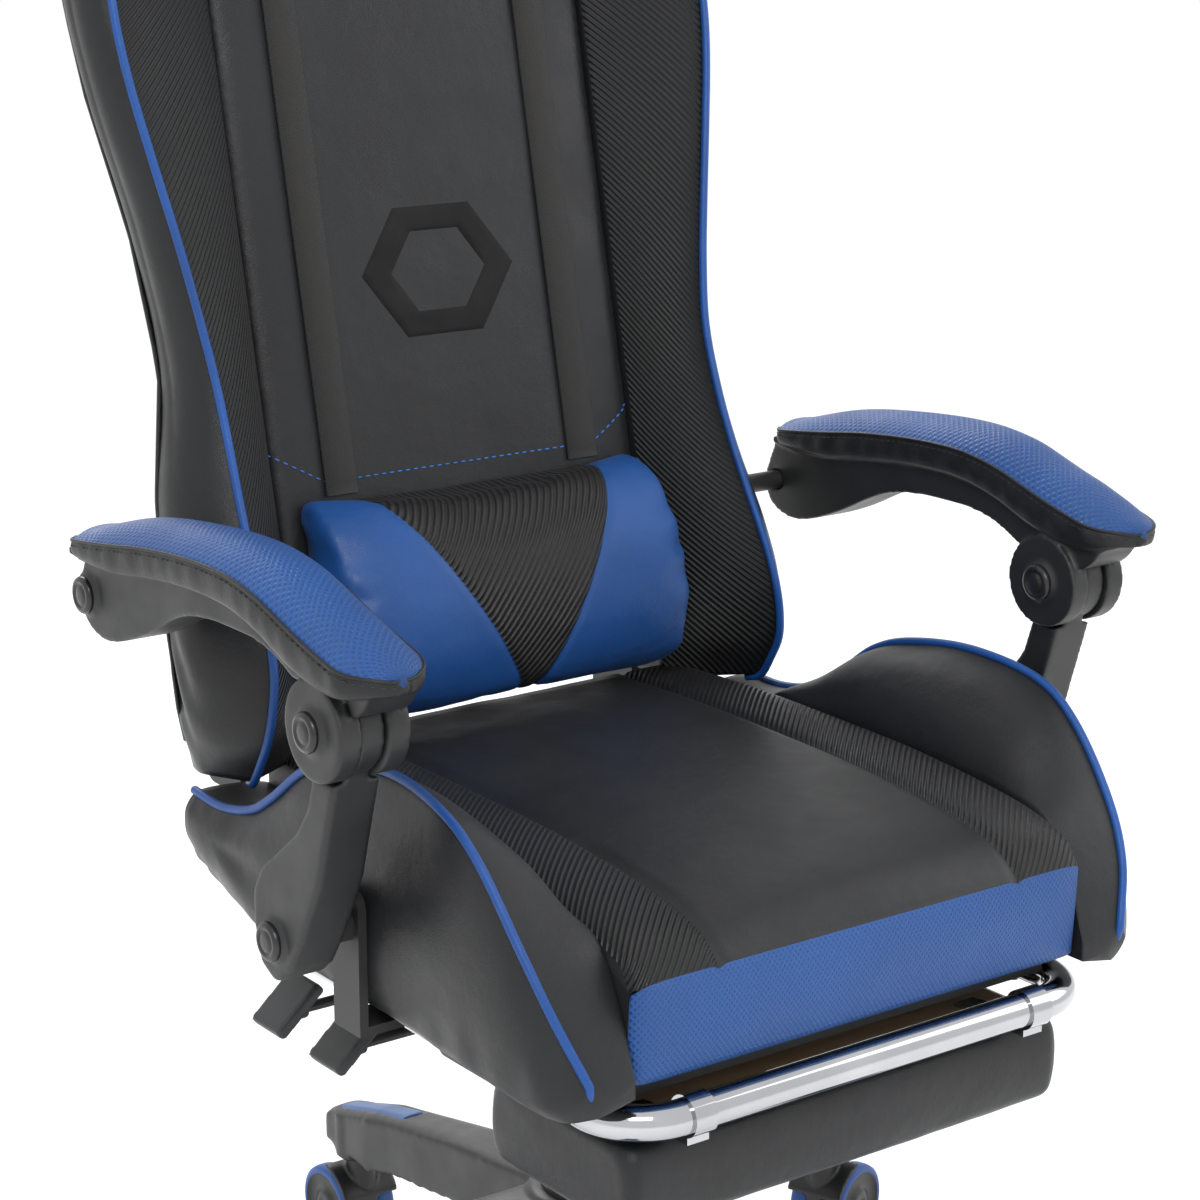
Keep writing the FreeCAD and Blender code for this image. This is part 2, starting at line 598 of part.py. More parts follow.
def wing(side):
    sections = []
    for y, crest, crest_inset, outer_inset, under in WING_STATIONS:
        crest_x, outer_x = WING_HALF - crest_inset, WING_HALF - outer_inset
        inner = min(cushion_height(y), crest - 4)
        shoulder = min(WING_CREST_DROP, (crest - under) / 3)
        root = max(under, SEAT_BOTTOM - WING_ROOT)
        sections.append([V(SEAT_HALF, y, root), V(crest_x - 4, y, under),
                         V(outer_x, y, under + 8), V(outer_x, y, crest - shoulder),
                         V(crest_x, y, crest), V(SEAT_HALF, y, inner)])
    return to_side(loft(sections), side)


def side_bracket(side):
    """Steel angle under a wing that carries the post's pivot pin."""
    y = (POST_FOOT[0] - BRACKET_HALF, POST_FOOT[0] + BRACKET_HALF)
    low, high = BRACKET_Z
    top = POST_FOOT[1] + BRACKET_TOP
    foot = box((FRAME_OUTER[0], BRACKET_X[1]), y, BRACKET_Z)
    upright = side_plate([(y[0], low), (y[1], low), (y[1], top), (y[0], top)], BRACKET_X, 12)
    square = box(BRACKET_X, y, (low, high + 6))
    spacer = crosswise(PIN_R + 5, POST_FOOT, (BRACKET_X[1], POST_X[0] - SIDE_GAP))
    pin = crosswise(PIN_R, POST_FOOT, (BRACKET_X[0], POST_X[1] - POST_WALL))
    return to_side(foot.multiFuse([upright, square, spacer, pin]).removeSplitter(), side)


def hinge_bracket(side):
    """Seat-side recline plate with its pivot pin."""
    y, z = RECLINE
    r = HINGE_DISC_R
    outline = [(FRAME_OUTER[2] - FRAME_BAR, FRAME_Z[0]), (FRAME_OUTER[2] + 22, FRAME_Z[0]), (y + r, z - 24),
               (y + r, z + r), (y - r, z + r), (y - r - 6, z - 34), (FRAME_OUTER[2] - FRAME_BAR, FRAME_Z[0] + 14)]
    plate = side_plate(outline, SEAT_HINGE_X, 20)
    plate = plate.cut(box((FRAME_OUTER[0] - 40, FRAME_OUTER[0]), (0, FRAME_OUTER[2]), FRAME_Z))
    weld = box((SEAT_HINGE_X[0] - 20, SEAT_HINGE_X[1]), (FRAME_OUTER[2], FRAME_OUTER[2] + 16), FRAME_Z)
    pin = crosswise(PIN_R, RECLINE, (SEAT_HINGE_X[0], BACK_HINGE_X[1] + 4))
    head = crosswise(PIN_R + 4, RECLINE, (BACK_HINGE_X[1] + SIDE_GAP, BACK_HINGE_X[1] + 4))
    washer = crosswise(PIN_R + 5, RECLINE, (SEAT_HINGE_X[1], BACK_HINGE_X[0] - SIDE_GAP))
    return to_side(plate.multiFuse([weld, pin, head, washer]).removeSplitter(), side)


# ============================ footrest =======================================================
def footrest_tube():
    """Bent tube: two rails joined by the bar across the front."""
    corner = RAIL_BEND
    z = RAIL_Z
    left_end, left_bend = V(-RAIL_X, RAIL_BACK_Y, z), V(-RAIL_X, RAIL_FRONT_Y + corner, z)
    right_bend, right_end = V(RAIL_X, RAIL_FRONT_Y + corner, z), V(RAIL_X, RAIL_BACK_Y, z)
    bar_left, bar_right = V(corner - RAIL_X, RAIL_FRONT_Y, z), V(RAIL_X - corner, RAIL_FRONT_Y, z)
    swing = corner * (1 - math.cos(math.radians(45)))
    edges = [Part.LineSegment(left_end, left_bend).toShape(),
             Part.Arc(left_bend, V(swing - RAIL_X, RAIL_FRONT_Y + swing, z), bar_left).toShape(),
             Part.LineSegment(bar_left, bar_right).toShape(),
             Part.Arc(bar_right, V(RAIL_X - swing, RAIL_FRONT_Y + swing, z), right_bend).toShape(),
             Part.LineSegment(right_bend, right_end).toShape()]
    path = Part.Wire(edges)
    outer = path.makePipeShell([Part.Wire(Part.makeCircle(RAIL_R, left_end, Y))], True, False)
    inner = path.makePipeShell([Part.Wire(Part.makeCircle(RAIL_R - RAIL_WALL, left_end, Y))], True, False)
    return outer.cut(inner)


def rail_sleeves():
    sleeves = []
    outer = RAIL_R + RUNNING + SLEEVE_WALL
    for side in (-1, 1):
        start = V(side * RAIL_X, SLEEVE_Y[0], RAIL_Z)
        length = SLEEVE_Y[1] - SLEEVE_Y[0]
        sleeve = cylinder(outer, start, Y, length)
        lug_x = sorted((side * (RAIL_X - SLEEVE_LUG[0]), side * (FRAME_OUTER[0] - SLEEVE_LUG[1])))
        lug = box(lug_x, SLEEVE_Y, (RAIL_Z, FRAME_Z[0]))
        sleeve = sleeve.fuse(lug).cut(cylinder(RAIL_R + RUNNING, start, Y, length))
        over_frame = box((-RAIL_X - outer, RAIL_X + outer), SLEEVE_Y, FRAME_Z)
        sleeve = sleeve.cut(over_frame)
        sleeves.append(sleeve.removeSplitter())
    return Part.makeCompound(sleeves)


def footrest_clamps():
    clamps = []
    outer = RAIL_R + RUNNING + CLAMP_WALL
    for side in (-1, 1):
        x = (side * CLAMP_X - CLAMP_WIDTH / 2, side * CLAMP_X + CLAMP_WIDTH / 2)
        eye = crosswise(outer, (RAIL_FRONT_Y, RAIL_Z), x)
        board_top, tab_end = BOARD_Z[1], RAIL_FRONT_Y + CLAMP_TAB
        tab = side_plate([(RAIL_FRONT_Y - 4, board_top), (tab_end, board_top),
                          (tab_end, board_top + CLAMP_WALL), (RAIL_FRONT_Y + 8, RAIL_Z - 8),
                          (RAIL_FRONT_Y - 4, RAIL_Z - 8)], x)
        bore_x = (x[0] - OVERCUT, x[1] + OVERCUT)
        clamp = eye.fuse(tab).cut(crosswise(RAIL_R + RUNNING, (RAIL_FRONT_Y, RAIL_Z), bore_x))
        clamps.append(clamp.removeSplitter())
    return Part.makeCompound(clamps)


def footrest_board():
    half = PAD_HALF - BOARD_INSET
    return box((-half, half), (PAD_Y[0] + BOARD_INSET, PAD_Y[1] - BOARD_INSET), BOARD_Z)


def footrest_pad():
    pad = box((-PAD_HALF, PAD_HALF), PAD_Y, (PAD_BOTTOM, BOARD_Z[1] - 1))
    pad = pad.makeFillet(PAD_ROUND, pad.Edges[:])
    return pad.cut(footrest_board())


# ============================ back ===========================================================
def harness_hole(grow, y):
    """Rounded opening for the pillow straps, on the left, between two y limits."""
    hx, hz = HARNESS_HALF[0] + grow, HARNESS_HALF[1] + grow
    outline = [(HARNESS_X - hx, HARNESS_Z - hz), (HARNESS_X + hx, HARNESS_Z - hz),
               (HARNESS_X + hx, HARNESS_Z + hz), (HARNESS_X - hx, HARNESS_Z + hz)]
    return front_plate(outline, y, HARNESS_ROUND + grow)


def both_holes():
    """Cutters for both strap openings, right through the back."""
    y = panel_y(HARNESS_Z)
    hole = harness_hole(0, (y - COVER_BACK, y + 2 * COVER_BACK))
    return [hole, mirrored(hole)]


def back_cushion():
    low, high = CUSHION_Z
    outline = [(panel_y(low), low), (panel_y(high), high), (panel_y(high) + FOAM, high),
               (panel_y(low) + FOAM, low)]
    return side_plate(outline, (-PANEL_HALF, PANEL_HALF), 4)


def head_cushion():
    """Upper panel: between the shoulders with both strap openings, then the whole head."""
    low, high = HEAD_Z, SHOULDER_Z + 1
    yoke = side_plate([(panel_y(low), low), (panel_y(high) - 4, high), (panel_y(high) + FOAM, high),
                       (panel_y(low) + FOAM, low)], (-PANEL_HALF, PANEL_HALF))
    sections = []
    for z, beyond in HEAD_STATIONS:
        half = PANEL_HALF + beyond
        turn = half - HEAD_BEVEL[0]
        front, back = panel_y(z) - HEAD_CROWN, panel_y(z) + FOAM
        edge = front + HEAD_BEVEL[1]
        sections.append([V(-half, edge, z), V(-turn, front, z), V(turn, front, z),
                         V(half, edge, z), V(half, back, z), V(-half, back, z)])
    shape = yoke.fuse(loft(sections))
    for hole in both_holes():
        shape = shape.cut(hole)
    return shape.removeSplitter()


def bolster(side):
    """Side cushion of the back from the hips to the shoulder."""
    sections = []
    inner = PANEL_HALF + SOFT_GAP
    for z, beyond, crest, crest_y, rear in SIDE_STATIONS:
        face = panel_y(z)
        half = PANEL_HALF + beyond
        sections.append([V(inner, face + FOAM, z), V(inner, face - 4, z),
                         V(PANEL_HALF + crest, crest_y, z),
                         V(half, crest_y + BOLSTER_FLANK, z), V(half, rear, z)])
    shape = loft(sections).cut(back_plate(0)).cut(rear_pin(0))
    seat_top = max(z for _, z in SEAT_TOP) + SOFT_GAP
    seat_y = (SEAT_TOP[0][0], SEAT_BACK_Y + 2)
    over_seat = box((0, SEAT_HALF + SOFT_GAP), seat_y, (SEAT_BOTTOM, seat_top))
    return to_side(shape.cut(over_seat), side)


def cover_section(z, half, rear):
    back = panel_y(z) + COVER_BACK
    skin = COVER_SKIN
    edge = rear + COVER_OFF
    flank = half - 2
    turn = flank - COVER_TURN
    return [V(-flank, edge, z), V(-turn, back, z), V(turn, back, z), V(flank, edge, z),
            V(flank - skin, edge, z), V(turn - 2, back - skin, z), V(2 - turn, back - skin, z),
            V(skin - flank, edge, z)]


def back_cover():
    """Rear shell of the back, open where the straps pass."""
    top = COVER_TOP_Z + COVER_LID
    sides = [between(SIDE_STATIONS, COVER_BOTTOM_Z)] + [s for s in SIDE_STATIONS if s[0] > COVER_BOTTOM_Z]
    stations = [(max(z, COVER_BOTTOM_Z), PANEL_HALF + beyond, rear) for z, beyond, _, _, rear in sides]
    for z, beyond in HEAD_STATIONS[1:-1]:
        stations.append((z, PANEL_HALF + beyond, panel_y(z) + FOAM))
    top_half = PANEL_HALF + HEAD_STATIONS[-1][1] + 12
    stations.append((top, top_half, panel_y(COVER_TOP_Z) + FOAM))
    shell = loft([cover_section(*s) for s in stations])
    lid_y = (panel_y(COVER_TOP_Z) + FOAM + 1, panel_y(COVER_TOP_Z) + COVER_BACK)
    lid_half = top_half - 2 - COVER_TURN
    shell = shell.fuse(box((-lid_half, lid_half), lid_y, (COVER_TOP_Z, top)))
    slot = back_plate(1)
    for hole in both_holes() + [slot, mirrored(slot)]:
        shell = shell.cut(hole)
    return shell.removeSplitter()


def harness_bezels():
    """Plastic frames through the upholstery, one at each strap opening."""
    front = panel_y(HARNESS_Z) - HARNESS_HALF[1] * LEAN - BEZEL_PROUD - 4
    back = panel_y(HARNESS_Z) + COVER_BACK + HARNESS_HALF[1] * LEAN + BEZEL_PROUD
    bore = harness_hole(-BEZEL_WALL, (front - OVERCUT, back + OVERCUT))
    sleeve = harness_hole(0, (front, back))
    lip = harness_hole(BEZEL_LIP, (back - BEZEL_PROUD, back))
    bezel = sleeve.fuse(lip).cut(bore).cut(back_cover()).removeSplitter()
    return Part.makeCompound([bezel, mirrored(bezel)])


def back_plate(grow):
    """Back-side recline plate on the left: hinge disc, stem up the tube, ear for the armrest pin."""
    y, z = RECLINE
    r = HINGE_DISC_R
    ay, az = ARM_REAR
    tube_back = panel_y(az) + FRAME_TUBE_BACK
    outline = [(y - r, z - r), (y + r, z - r), (y + r, z + 12), (tube_back + 10, az + 22),
               (ay - 12, az + 14), (ay - 14, az - 13), (tube_back - 22, az - 16), (y - r, z + r)]
    x = (BACK_HINGE_X[0] - grow, BACK_HINGE_X[1] + grow)
    return side_plate(outline, x, 12)


def rear_pin(grow):
    return crosswise(REAR_PIN_R + grow, ARM_REAR, (BACK_HINGE_X[0], REAR_PIN_END))


def back_bracket(side):
    bore_x = (BACK_HINGE_X[0] - OVERCUT, BACK_HINGE_X[1] + OVERCUT)
    plate = back_plate(0).cut(crosswise(PIN_R + RUNNING, RECLINE, bore_x))
    return to_side(plate.fuse(rear_pin(0)).removeSplitter(), side)


def back_frame():
    """Inverted U of steel tube with two cross tubes, behind the foam."""
    low, shoulder, head, high = FRAME_TUBE_Z
    r = FRAME_TUBE_R

    def centre(x, z):
        return V(x, panel_y(z) + FRAME_TUBE_BACK, z)

    half_route = [(FRAME_TUBE_X, low), (FRAME_TUBE_X, shoulder), (FRAME_HEAD_X, head), (FRAME_HEAD_X, high)]
    route = [centre(-x, z) for x, z in half_route] + [centre(x, z) for x, z in reversed(half_route)]
    solids = []
    for a, b in zip(route, route[1:]):
        solids.append(cylinder(r, a, b - a, (b - a).Length))
        solids.append(Part.makeSphere(r, b))
    solids.pop()
    for z in CROSS_TUBE_Z:
        solids.append(cylinder(CROSS_TUBE_R, centre(-FRAME_TUBE_X, z), X, 2 * FRAME_TUBE_X))
    shape = solids[0].multiFuse(solids[1:])
    for hole in both_holes():
        shape = shape.cut(hole)
    return shape.removeSplitter()


def lumbar_pillow():
    """Half-barrel cushion against the middle panel."""
    low, high = LUMBAR_Z
    gap = SOFT_GAP
    back_low, back_high = panel_y(low) - gap, panel_y(high) - gap
    front = []
    steps = 8
    for step in range(steps + 1):
        angle = math.pi * (step / steps)
        share = (1 - math.cos(angle)) / 2
        z = low + (high - low) * share
        bulge = LUMBAR_EDGE + (LUMBAR_DEPTH - LUMBAR_EDGE) * math.sin(angle)
        front.append((panel_y(z) - gap - bulge, z))
    curve = Part.BSplineCurve()
    x0 = -LUMBAR_HALF
    curve.interpolate([V(x0, *p) for p in front])
    edges = [Part.LineSegment(V(x0, back_low, low), V(x0, *front[0])).toShape(), curve.toShape(),
             Part.LineSegment(V(x0, *front[-1]), V(x0, back_high, high)).toShape(),
             Part.LineSegment(V(x0, back_high, high), V(x0, back_low, low)).toShape()]
    return Part.Face(Part.Wire(edges)).extrude(X * 2 * LUMBAR_HALF)


def head_pillow():
    low, high = HEADREST_Z
    gap = HEAD_CROWN + STRAP_THICKNESS + 1
    depth = HEADREST_DEPTH
    outline = [(panel_y(low) - gap, low), (panel_y(low) - gap - depth * 0.7, low + 8),
               (panel_y(low + 45) - gap - depth, low + 45), (panel_y(high - 30) - gap - depth * 0.9, high - 30),
               (panel_y(high) - gap - 14, high), (panel_y(high) - gap, high)]
    return side_plate(outline, (-HEADREST_HALF, HEADREST_HALF), 22)


def pillow_straps():
    """Lumbar straps up the panel and through the openings, and the head pillow's strap."""
    t, gap = STRAP_THICKNESS, SOFT_GAP
    low = LUMBAR_Z[1] + 1
    high = HARNESS_Z - HARNESS_HALF[1] + BEZEL_WALL + gap + t
    front_low, front_high = panel_y(low) - gap, panel_y(high) - gap - 8
    back = panel_y(high) + COVER_BACK + 20
    top = high + t
    outline = [(front_low - t, low), (front_low, low), (front_high, high), (back, high), (back, top),
               (front_high - t, top)]
    half = STRAP_WIDTH / 2
    solids = []
    for side in (-1, 1):
        x = (side * HARNESS_X - half, side * HARNESS_X + half)
        solids.append(side_plate(outline, x))
    z = (HEADREST_Z[0] + HEADREST_Z[1]) / 2
    head_half = PANEL_HALF + between(HEAD_STATIONS, z)[1] + 4
    front, rear = panel_y(z) - HEAD_CROWN - 5, panel_y(z) + COVER_BACK + 5
    band = box((-head_half - t, head_half + t), (front - t, rear + t), (z - half, z + half))
    inside = box((-head_half, head_half), (front, rear), (z - half - OVERCUT, z + half + OVERCUT))
    band = band.cut(inside)
    solids.append(band.cut(head_pillow()))
    return Part.makeCompound(solids)


# ============================ armrests =======================================================
def post(side):
    outline = list(POST_FRONT) + list(POST_REAR)
    body = side_plate(outline, POST_X, 10)
    ear_room = EAR_R + 1.5
    inner_side = crosswise(ear_room, ARM_FRONT, (POST_X[0] - OVERCUT, TONGUE_X[0]))
    outer_side = crosswise(ear_room, ARM_FRONT, (TONGUE_X[1], POST_X[1] + OVERCUT))
    body = body.cut(inner_side.fuse(outer_side))
    tongue = crosswise(TONGUE_R, ARM_FRONT, TONGUE_X)
    cap = crosswise(CAP_R, POST_FOOT, (POST_X[1] - 1, POST_X[1] + CAP_HEIGHT))
    body = body.multiFuse([tongue, cap])
    foot_bore = (POST_X[0] - OVERCUT, POST_X[1] - POST_WALL + RUNNING)
    head_bore = (TONGUE_X[0] - OVERCUT, TONGUE_X[1] + OVERCUT)
    body = body.cut(crosswise(PIN_R + RUNNING, POST_FOOT, foot_bore))
    body = body.cut(crosswise(PIN_R + RUNNING, ARM_FRONT, head_bore))
    return to_side(body.removeSplitter(), side)


def lowered(points, drop):
    return [(y, z - drop) for y, z in points]


def arm_frame(side):
    """Arched arm with a flange under the pad, fork ears with their pin, and a boss at the rear."""
    under = list(ARM_UNDER)
    top = list(PAD_SEAT)
    core = smooth_side(lowered(top, 1), under, ARM_X)
    flange = smooth_side(top, list(reversed(lowered(top, FLANGE))), FLANGE_X)
    room = crosswise(TONGUE_R + 3, ARM_FRONT, (TONGUE_X[0] - SIDE_GAP, TONGUE_X[1] + SIDE_GAP))
    front_y, front_z = ARM_FRONT
    post_room = [(-42, 1), (-42, -39), (73, -39), (73, 1), (38, 23), (-27, 23)]
    sweep = side_plate([(front_y + dy, front_z + dz) for dy, dz in post_room],
                       (TONGUE_X[0] - 8, TONGUE_X[1] + 8))
    core = core.cut(room).cut(sweep)
    ears = [crosswise(EAR_R, ARM_FRONT, EAR_OUTER_X), crosswise(EAR_R, ARM_FRONT, EAR_INNER_X)]
    pin = crosswise(PIN_R, ARM_FRONT, (EAR_INNER_X[0] + 1, EAR_OUTER_X[1] - 1))
    caps = [crosswise(CAP_R, ARM_FRONT, (EAR_OUTER_X[1] - 1, EAR_OUTER_X[1] + CAP_HEIGHT)),
            crosswise(CAP_R, ARM_FRONT, (EAR_INNER_X[0] - CAP_HEIGHT, EAR_INNER_X[0] + 1)),
            crosswise(CAP_R, ARM_REAR, (ARM_X[1] - 1, ARM_X[1] + CAP_HEIGHT))]
    shape = core.multiFuse([flange] + ears + [pin] + caps)
    shape = shape.cut(crosswise(REAR_PIN_R + LOOSE_PIVOT, ARM_REAR, (ARM_X[0] - 10, REAR_PIN_END + 1)))
    return to_side(shape.removeSplitter(), side)


def arm_pad(side):
    shape = smooth_side(list(PAD_SEAT), list(PAD_CROWN), FLANGE_X)
    return to_side(shape, side)


# ============================ assembly =======================================================
def base_nodes():
    """The base, its casters and the column, drawn from the floor."""
    nodes = {
        "star_base": star_base(),
        "leg_caps": leg_caps(),
        "outer_tube": outer_tube(),
        "tube_bearings": tube_bearings(),
        "piston_rod": piston_rod(),
        "gas_cylinder": gas_cylinder(),
    }
    for name in COVERS:
        nodes[name] = cover_sleeve(name)
    for i in range(LEGS):
        nodes["caster_fork_%d" % i] = turned(caster_fork(), caster_angle(i))
        for name, side in SIDES:
            nodes["wheel_%d_%s" % (i, name)] = turned(caster_wheel(side), caster_angle(i))
    return nodes


def carried_nodes():
    """All that the lift carries, drawn from the mechanism plate and raised to its height."""
    nodes = {
        "mechanism_plate": mechanism_plate(),
        "mechanism_bolts": mechanism_bolts(),
        "mechanism_housing": mechanism_housing(),
        "tension_knob": tension_knob(),
        "seat_frame": seat_frame(),
        "seat_cushion": seat_cushion(),
        "side_brackets": Part.makeCompound([side_bracket(s) for _, s in SIDES]),
        "hinge_brackets": Part.makeCompound([hinge_bracket(s) for _, s in SIDES]),
        "footrest_tube": footrest_tube(),
        "rail_sleeves": rail_sleeves(),
        "footrest_clamps": footrest_clamps(),
        "footrest_board": footrest_board(),
        "footrest_pad": footrest_pad(),
        "back_cushion": back_cushion(),
        "head_cushion": head_cushion(),
        "back_cover": back_cover(),
        "harness_bezels": harness_bezels(),
        "back_frame": back_frame(),
        "back_brackets": Part.makeCompound([back_bracket(s) for _, s in SIDES]),
        "lumbar_pillow": lumbar_pillow(),
        "head_pillow": head_pillow(),
        "pillow_straps": pillow_straps(),
    }
    for name in LEVER_Y:
        nodes[name + "_lever"] = lever_rod(name)
        nodes[name + "_paddle"] = lever_paddle(name)
    for name, side in SIDES:
        nodes["wing_" + name] = wing(side)
        nodes["bolster_" + name] = bolster(side)
        nodes["post_" + name] = post(side)
        nodes["arm_frame_" + name] = arm_frame(side)
        nodes["arm_pad_" + name] = arm_pad(side)
    for shape in nodes.values():
        shape.translate(Z * SEAT_DATUM)
    return nodes


os.makedirs("parts", exist_ok=True)
for node, shape in sorted({**base_nodes(), **carried_nodes()}.items()):
    shape.exportStep("parts/%s.step" % node)
    print(node, len(shape.Solids), "solids", round(shape.Volume / 1000), "cm3", shape.isValid())
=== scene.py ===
# %% [markdown]
# # A racing-style gaming chair
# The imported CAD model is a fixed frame: it says where every part is and how it moves. This lesson
# keeps its steel parts and builds the upholstery, the moulded plastic and the finishes round it.
# Lengths in the tables are millimetres, because that is how a chair maker reads them, and every
# mesh is scaled to metres as it is made.

# %% Load the frame
import json
import math

import bmesh
import bpy
import numpy as np
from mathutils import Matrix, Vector, geometry, noise
from mathutils.bvhtree import BVHTree


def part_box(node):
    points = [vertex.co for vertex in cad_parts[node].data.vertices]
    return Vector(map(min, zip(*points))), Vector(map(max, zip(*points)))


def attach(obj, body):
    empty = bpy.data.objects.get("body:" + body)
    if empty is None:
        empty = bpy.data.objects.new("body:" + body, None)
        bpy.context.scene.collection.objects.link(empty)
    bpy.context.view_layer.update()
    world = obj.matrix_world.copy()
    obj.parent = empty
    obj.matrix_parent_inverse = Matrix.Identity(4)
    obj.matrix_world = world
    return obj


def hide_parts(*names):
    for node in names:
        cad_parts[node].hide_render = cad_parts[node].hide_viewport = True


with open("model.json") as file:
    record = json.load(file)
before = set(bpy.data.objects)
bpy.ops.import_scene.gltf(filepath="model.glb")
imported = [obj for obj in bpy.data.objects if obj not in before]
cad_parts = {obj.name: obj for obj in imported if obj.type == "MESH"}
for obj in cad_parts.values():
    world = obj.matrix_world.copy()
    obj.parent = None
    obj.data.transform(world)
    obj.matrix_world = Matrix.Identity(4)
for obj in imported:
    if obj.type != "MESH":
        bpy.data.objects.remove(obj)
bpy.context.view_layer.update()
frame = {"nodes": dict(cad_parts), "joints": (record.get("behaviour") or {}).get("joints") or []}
MM = 0.001
SIDES = (("left", 1), ("right", -1))
LEGS = 5


def box_mm(node):
    low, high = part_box(node)
    return np.array(low) / MM, np.array(high) / MM


# %% [markdown]
# ## Mesh helpers
# A mesh is made from lists of points and faces. A closed mesh has a sign to its volume, so one
# test turns every shape the right way out, whichever way its rows ran.

# %% Meshes from points


def new_object(name, points, faces, slots=(), face_slots=None, flat_uv=None):
    """Object from points in millimetres; face_slots gives each face its material."""
    mesh = bpy.data.meshes.new(name)
    points = np.asarray(points, float) * MM
    mesh.from_pydata(points.tolist(), [], [list(f) for f in faces])
    for material in slots:
        mesh.materials.append(material)
    if face_slots is not None:
        mesh.polygons.foreach_set("material_index", np.asarray(face_slots, np.int32))
    if flat_uv is not None:
        layer = mesh.uv_layers.new(name="cut")
        loops = np.zeros(len(mesh.loops), np.int32)
        mesh.loops.foreach_get("vertex_index", loops)
        layer.data.foreach_set("uv", (np.asarray(flat_uv, float) * MM)[loops].ravel())
    bm = bmesh.new()
    bm.from_mesh(mesh)
    if bm.calc_volume(signed=True) < 0:
        bmesh.ops.reverse_faces(bm, faces=bm.faces)
    bm.to_mesh(mesh)
    bm.free()
    mesh.shade_smooth()
    obj = bpy.data.objects.new(name, mesh)
    bpy.context.scene.collection.objects.link(obj)
    return obj


def tube_faces(count, wide):
    """Faces of a closed tube of count rings with wide points each, and its two flat ends."""
    faces = [(v * wide + u, v * wide + (u + 1) % wide, (v + 1) * wide + (u + 1) % wide, (v + 1) * wide + u)
             for v in range(count - 1) for u in range(wide)]
    return faces + [tuple(range(wide)), tuple(reversed(range((count - 1) * wide, count * wide)))]


def coordinates(obj):
    co = np.zeros(len(obj.data.vertices) * 3)
    obj.data.vertices.foreach_get("co", co)
    return co.reshape(-1, 3) / MM


def set_coordinates(obj, points):
    obj.data.vertices.foreach_set("co", (points * MM).ravel())
    obj.data.update()


def set_side(obj, points, side):
    """Sets the points of a piece made for the left, mirrored with its faces turned for the right."""
    points[:, 0] *= side
    set_coordinates(obj, points)
    if side < 0:
        obj.data.flip_normals()


def normals(obj):
    out = np.zeros(len(obj.data.vertices) * 3)
    obj.data.vertices.foreach_get("normal", out)
    return out.reshape(-1, 3)


def paint(obj, name, values):
    """Stores one number at each point, for a material or a seam to read."""
    layer = obj.data.attributes.get(name) or obj.data.attributes.new(name, "FLOAT", "POINT")
    layer.data.foreach_set("value", np.asarray(values, np.float32))


def baked(obj):
    """Replaces an object's mesh by its evaluated one, without its modifiers."""
    graph = bpy.context.evaluated_depsgraph_get()
    mesh = bpy.data.meshes.new_from_object(obj.evaluated_get(graph))
    obj.modifiers.clear()
    obj.data = mesh
    return obj


def smooth_keys(keys, steps):
    """Catmull-Rom curve through keys along the first axis, with steps points in each gap."""
    keys = np.asarray(keys, float)
    padded = np.concatenate([[2 * keys[0] - keys[1]], keys, [2 * keys[-1] - keys[-2]]])
    rows = []
    for i in range(len(keys) - 1):
        a, b, c, d = padded[i:i + 4]
        for t in np.arange(steps) / steps:
            rows.append(0.5 * (2 * b + (c - a) * t + (2 * a - 5 * b + 4 * c - d) * t * t
                               + (3 * b - a - 3 * c + d) * t ** 3))
    rows.append(keys[-1])
    return np.array(rows)


def ease(value, low, high):
    t = np.clip((np.asarray(value, float) - low) / (high - low), 0, 1)
    return t * t * (3 - 2 * t)


def rumple(points, size, seed):
    """Smooth noise at each point, for the slight unevenness of stuffed leather."""
    return np.array([noise.noise(Vector(p) / size + Vector((seed, 0, 0))) for p in points])


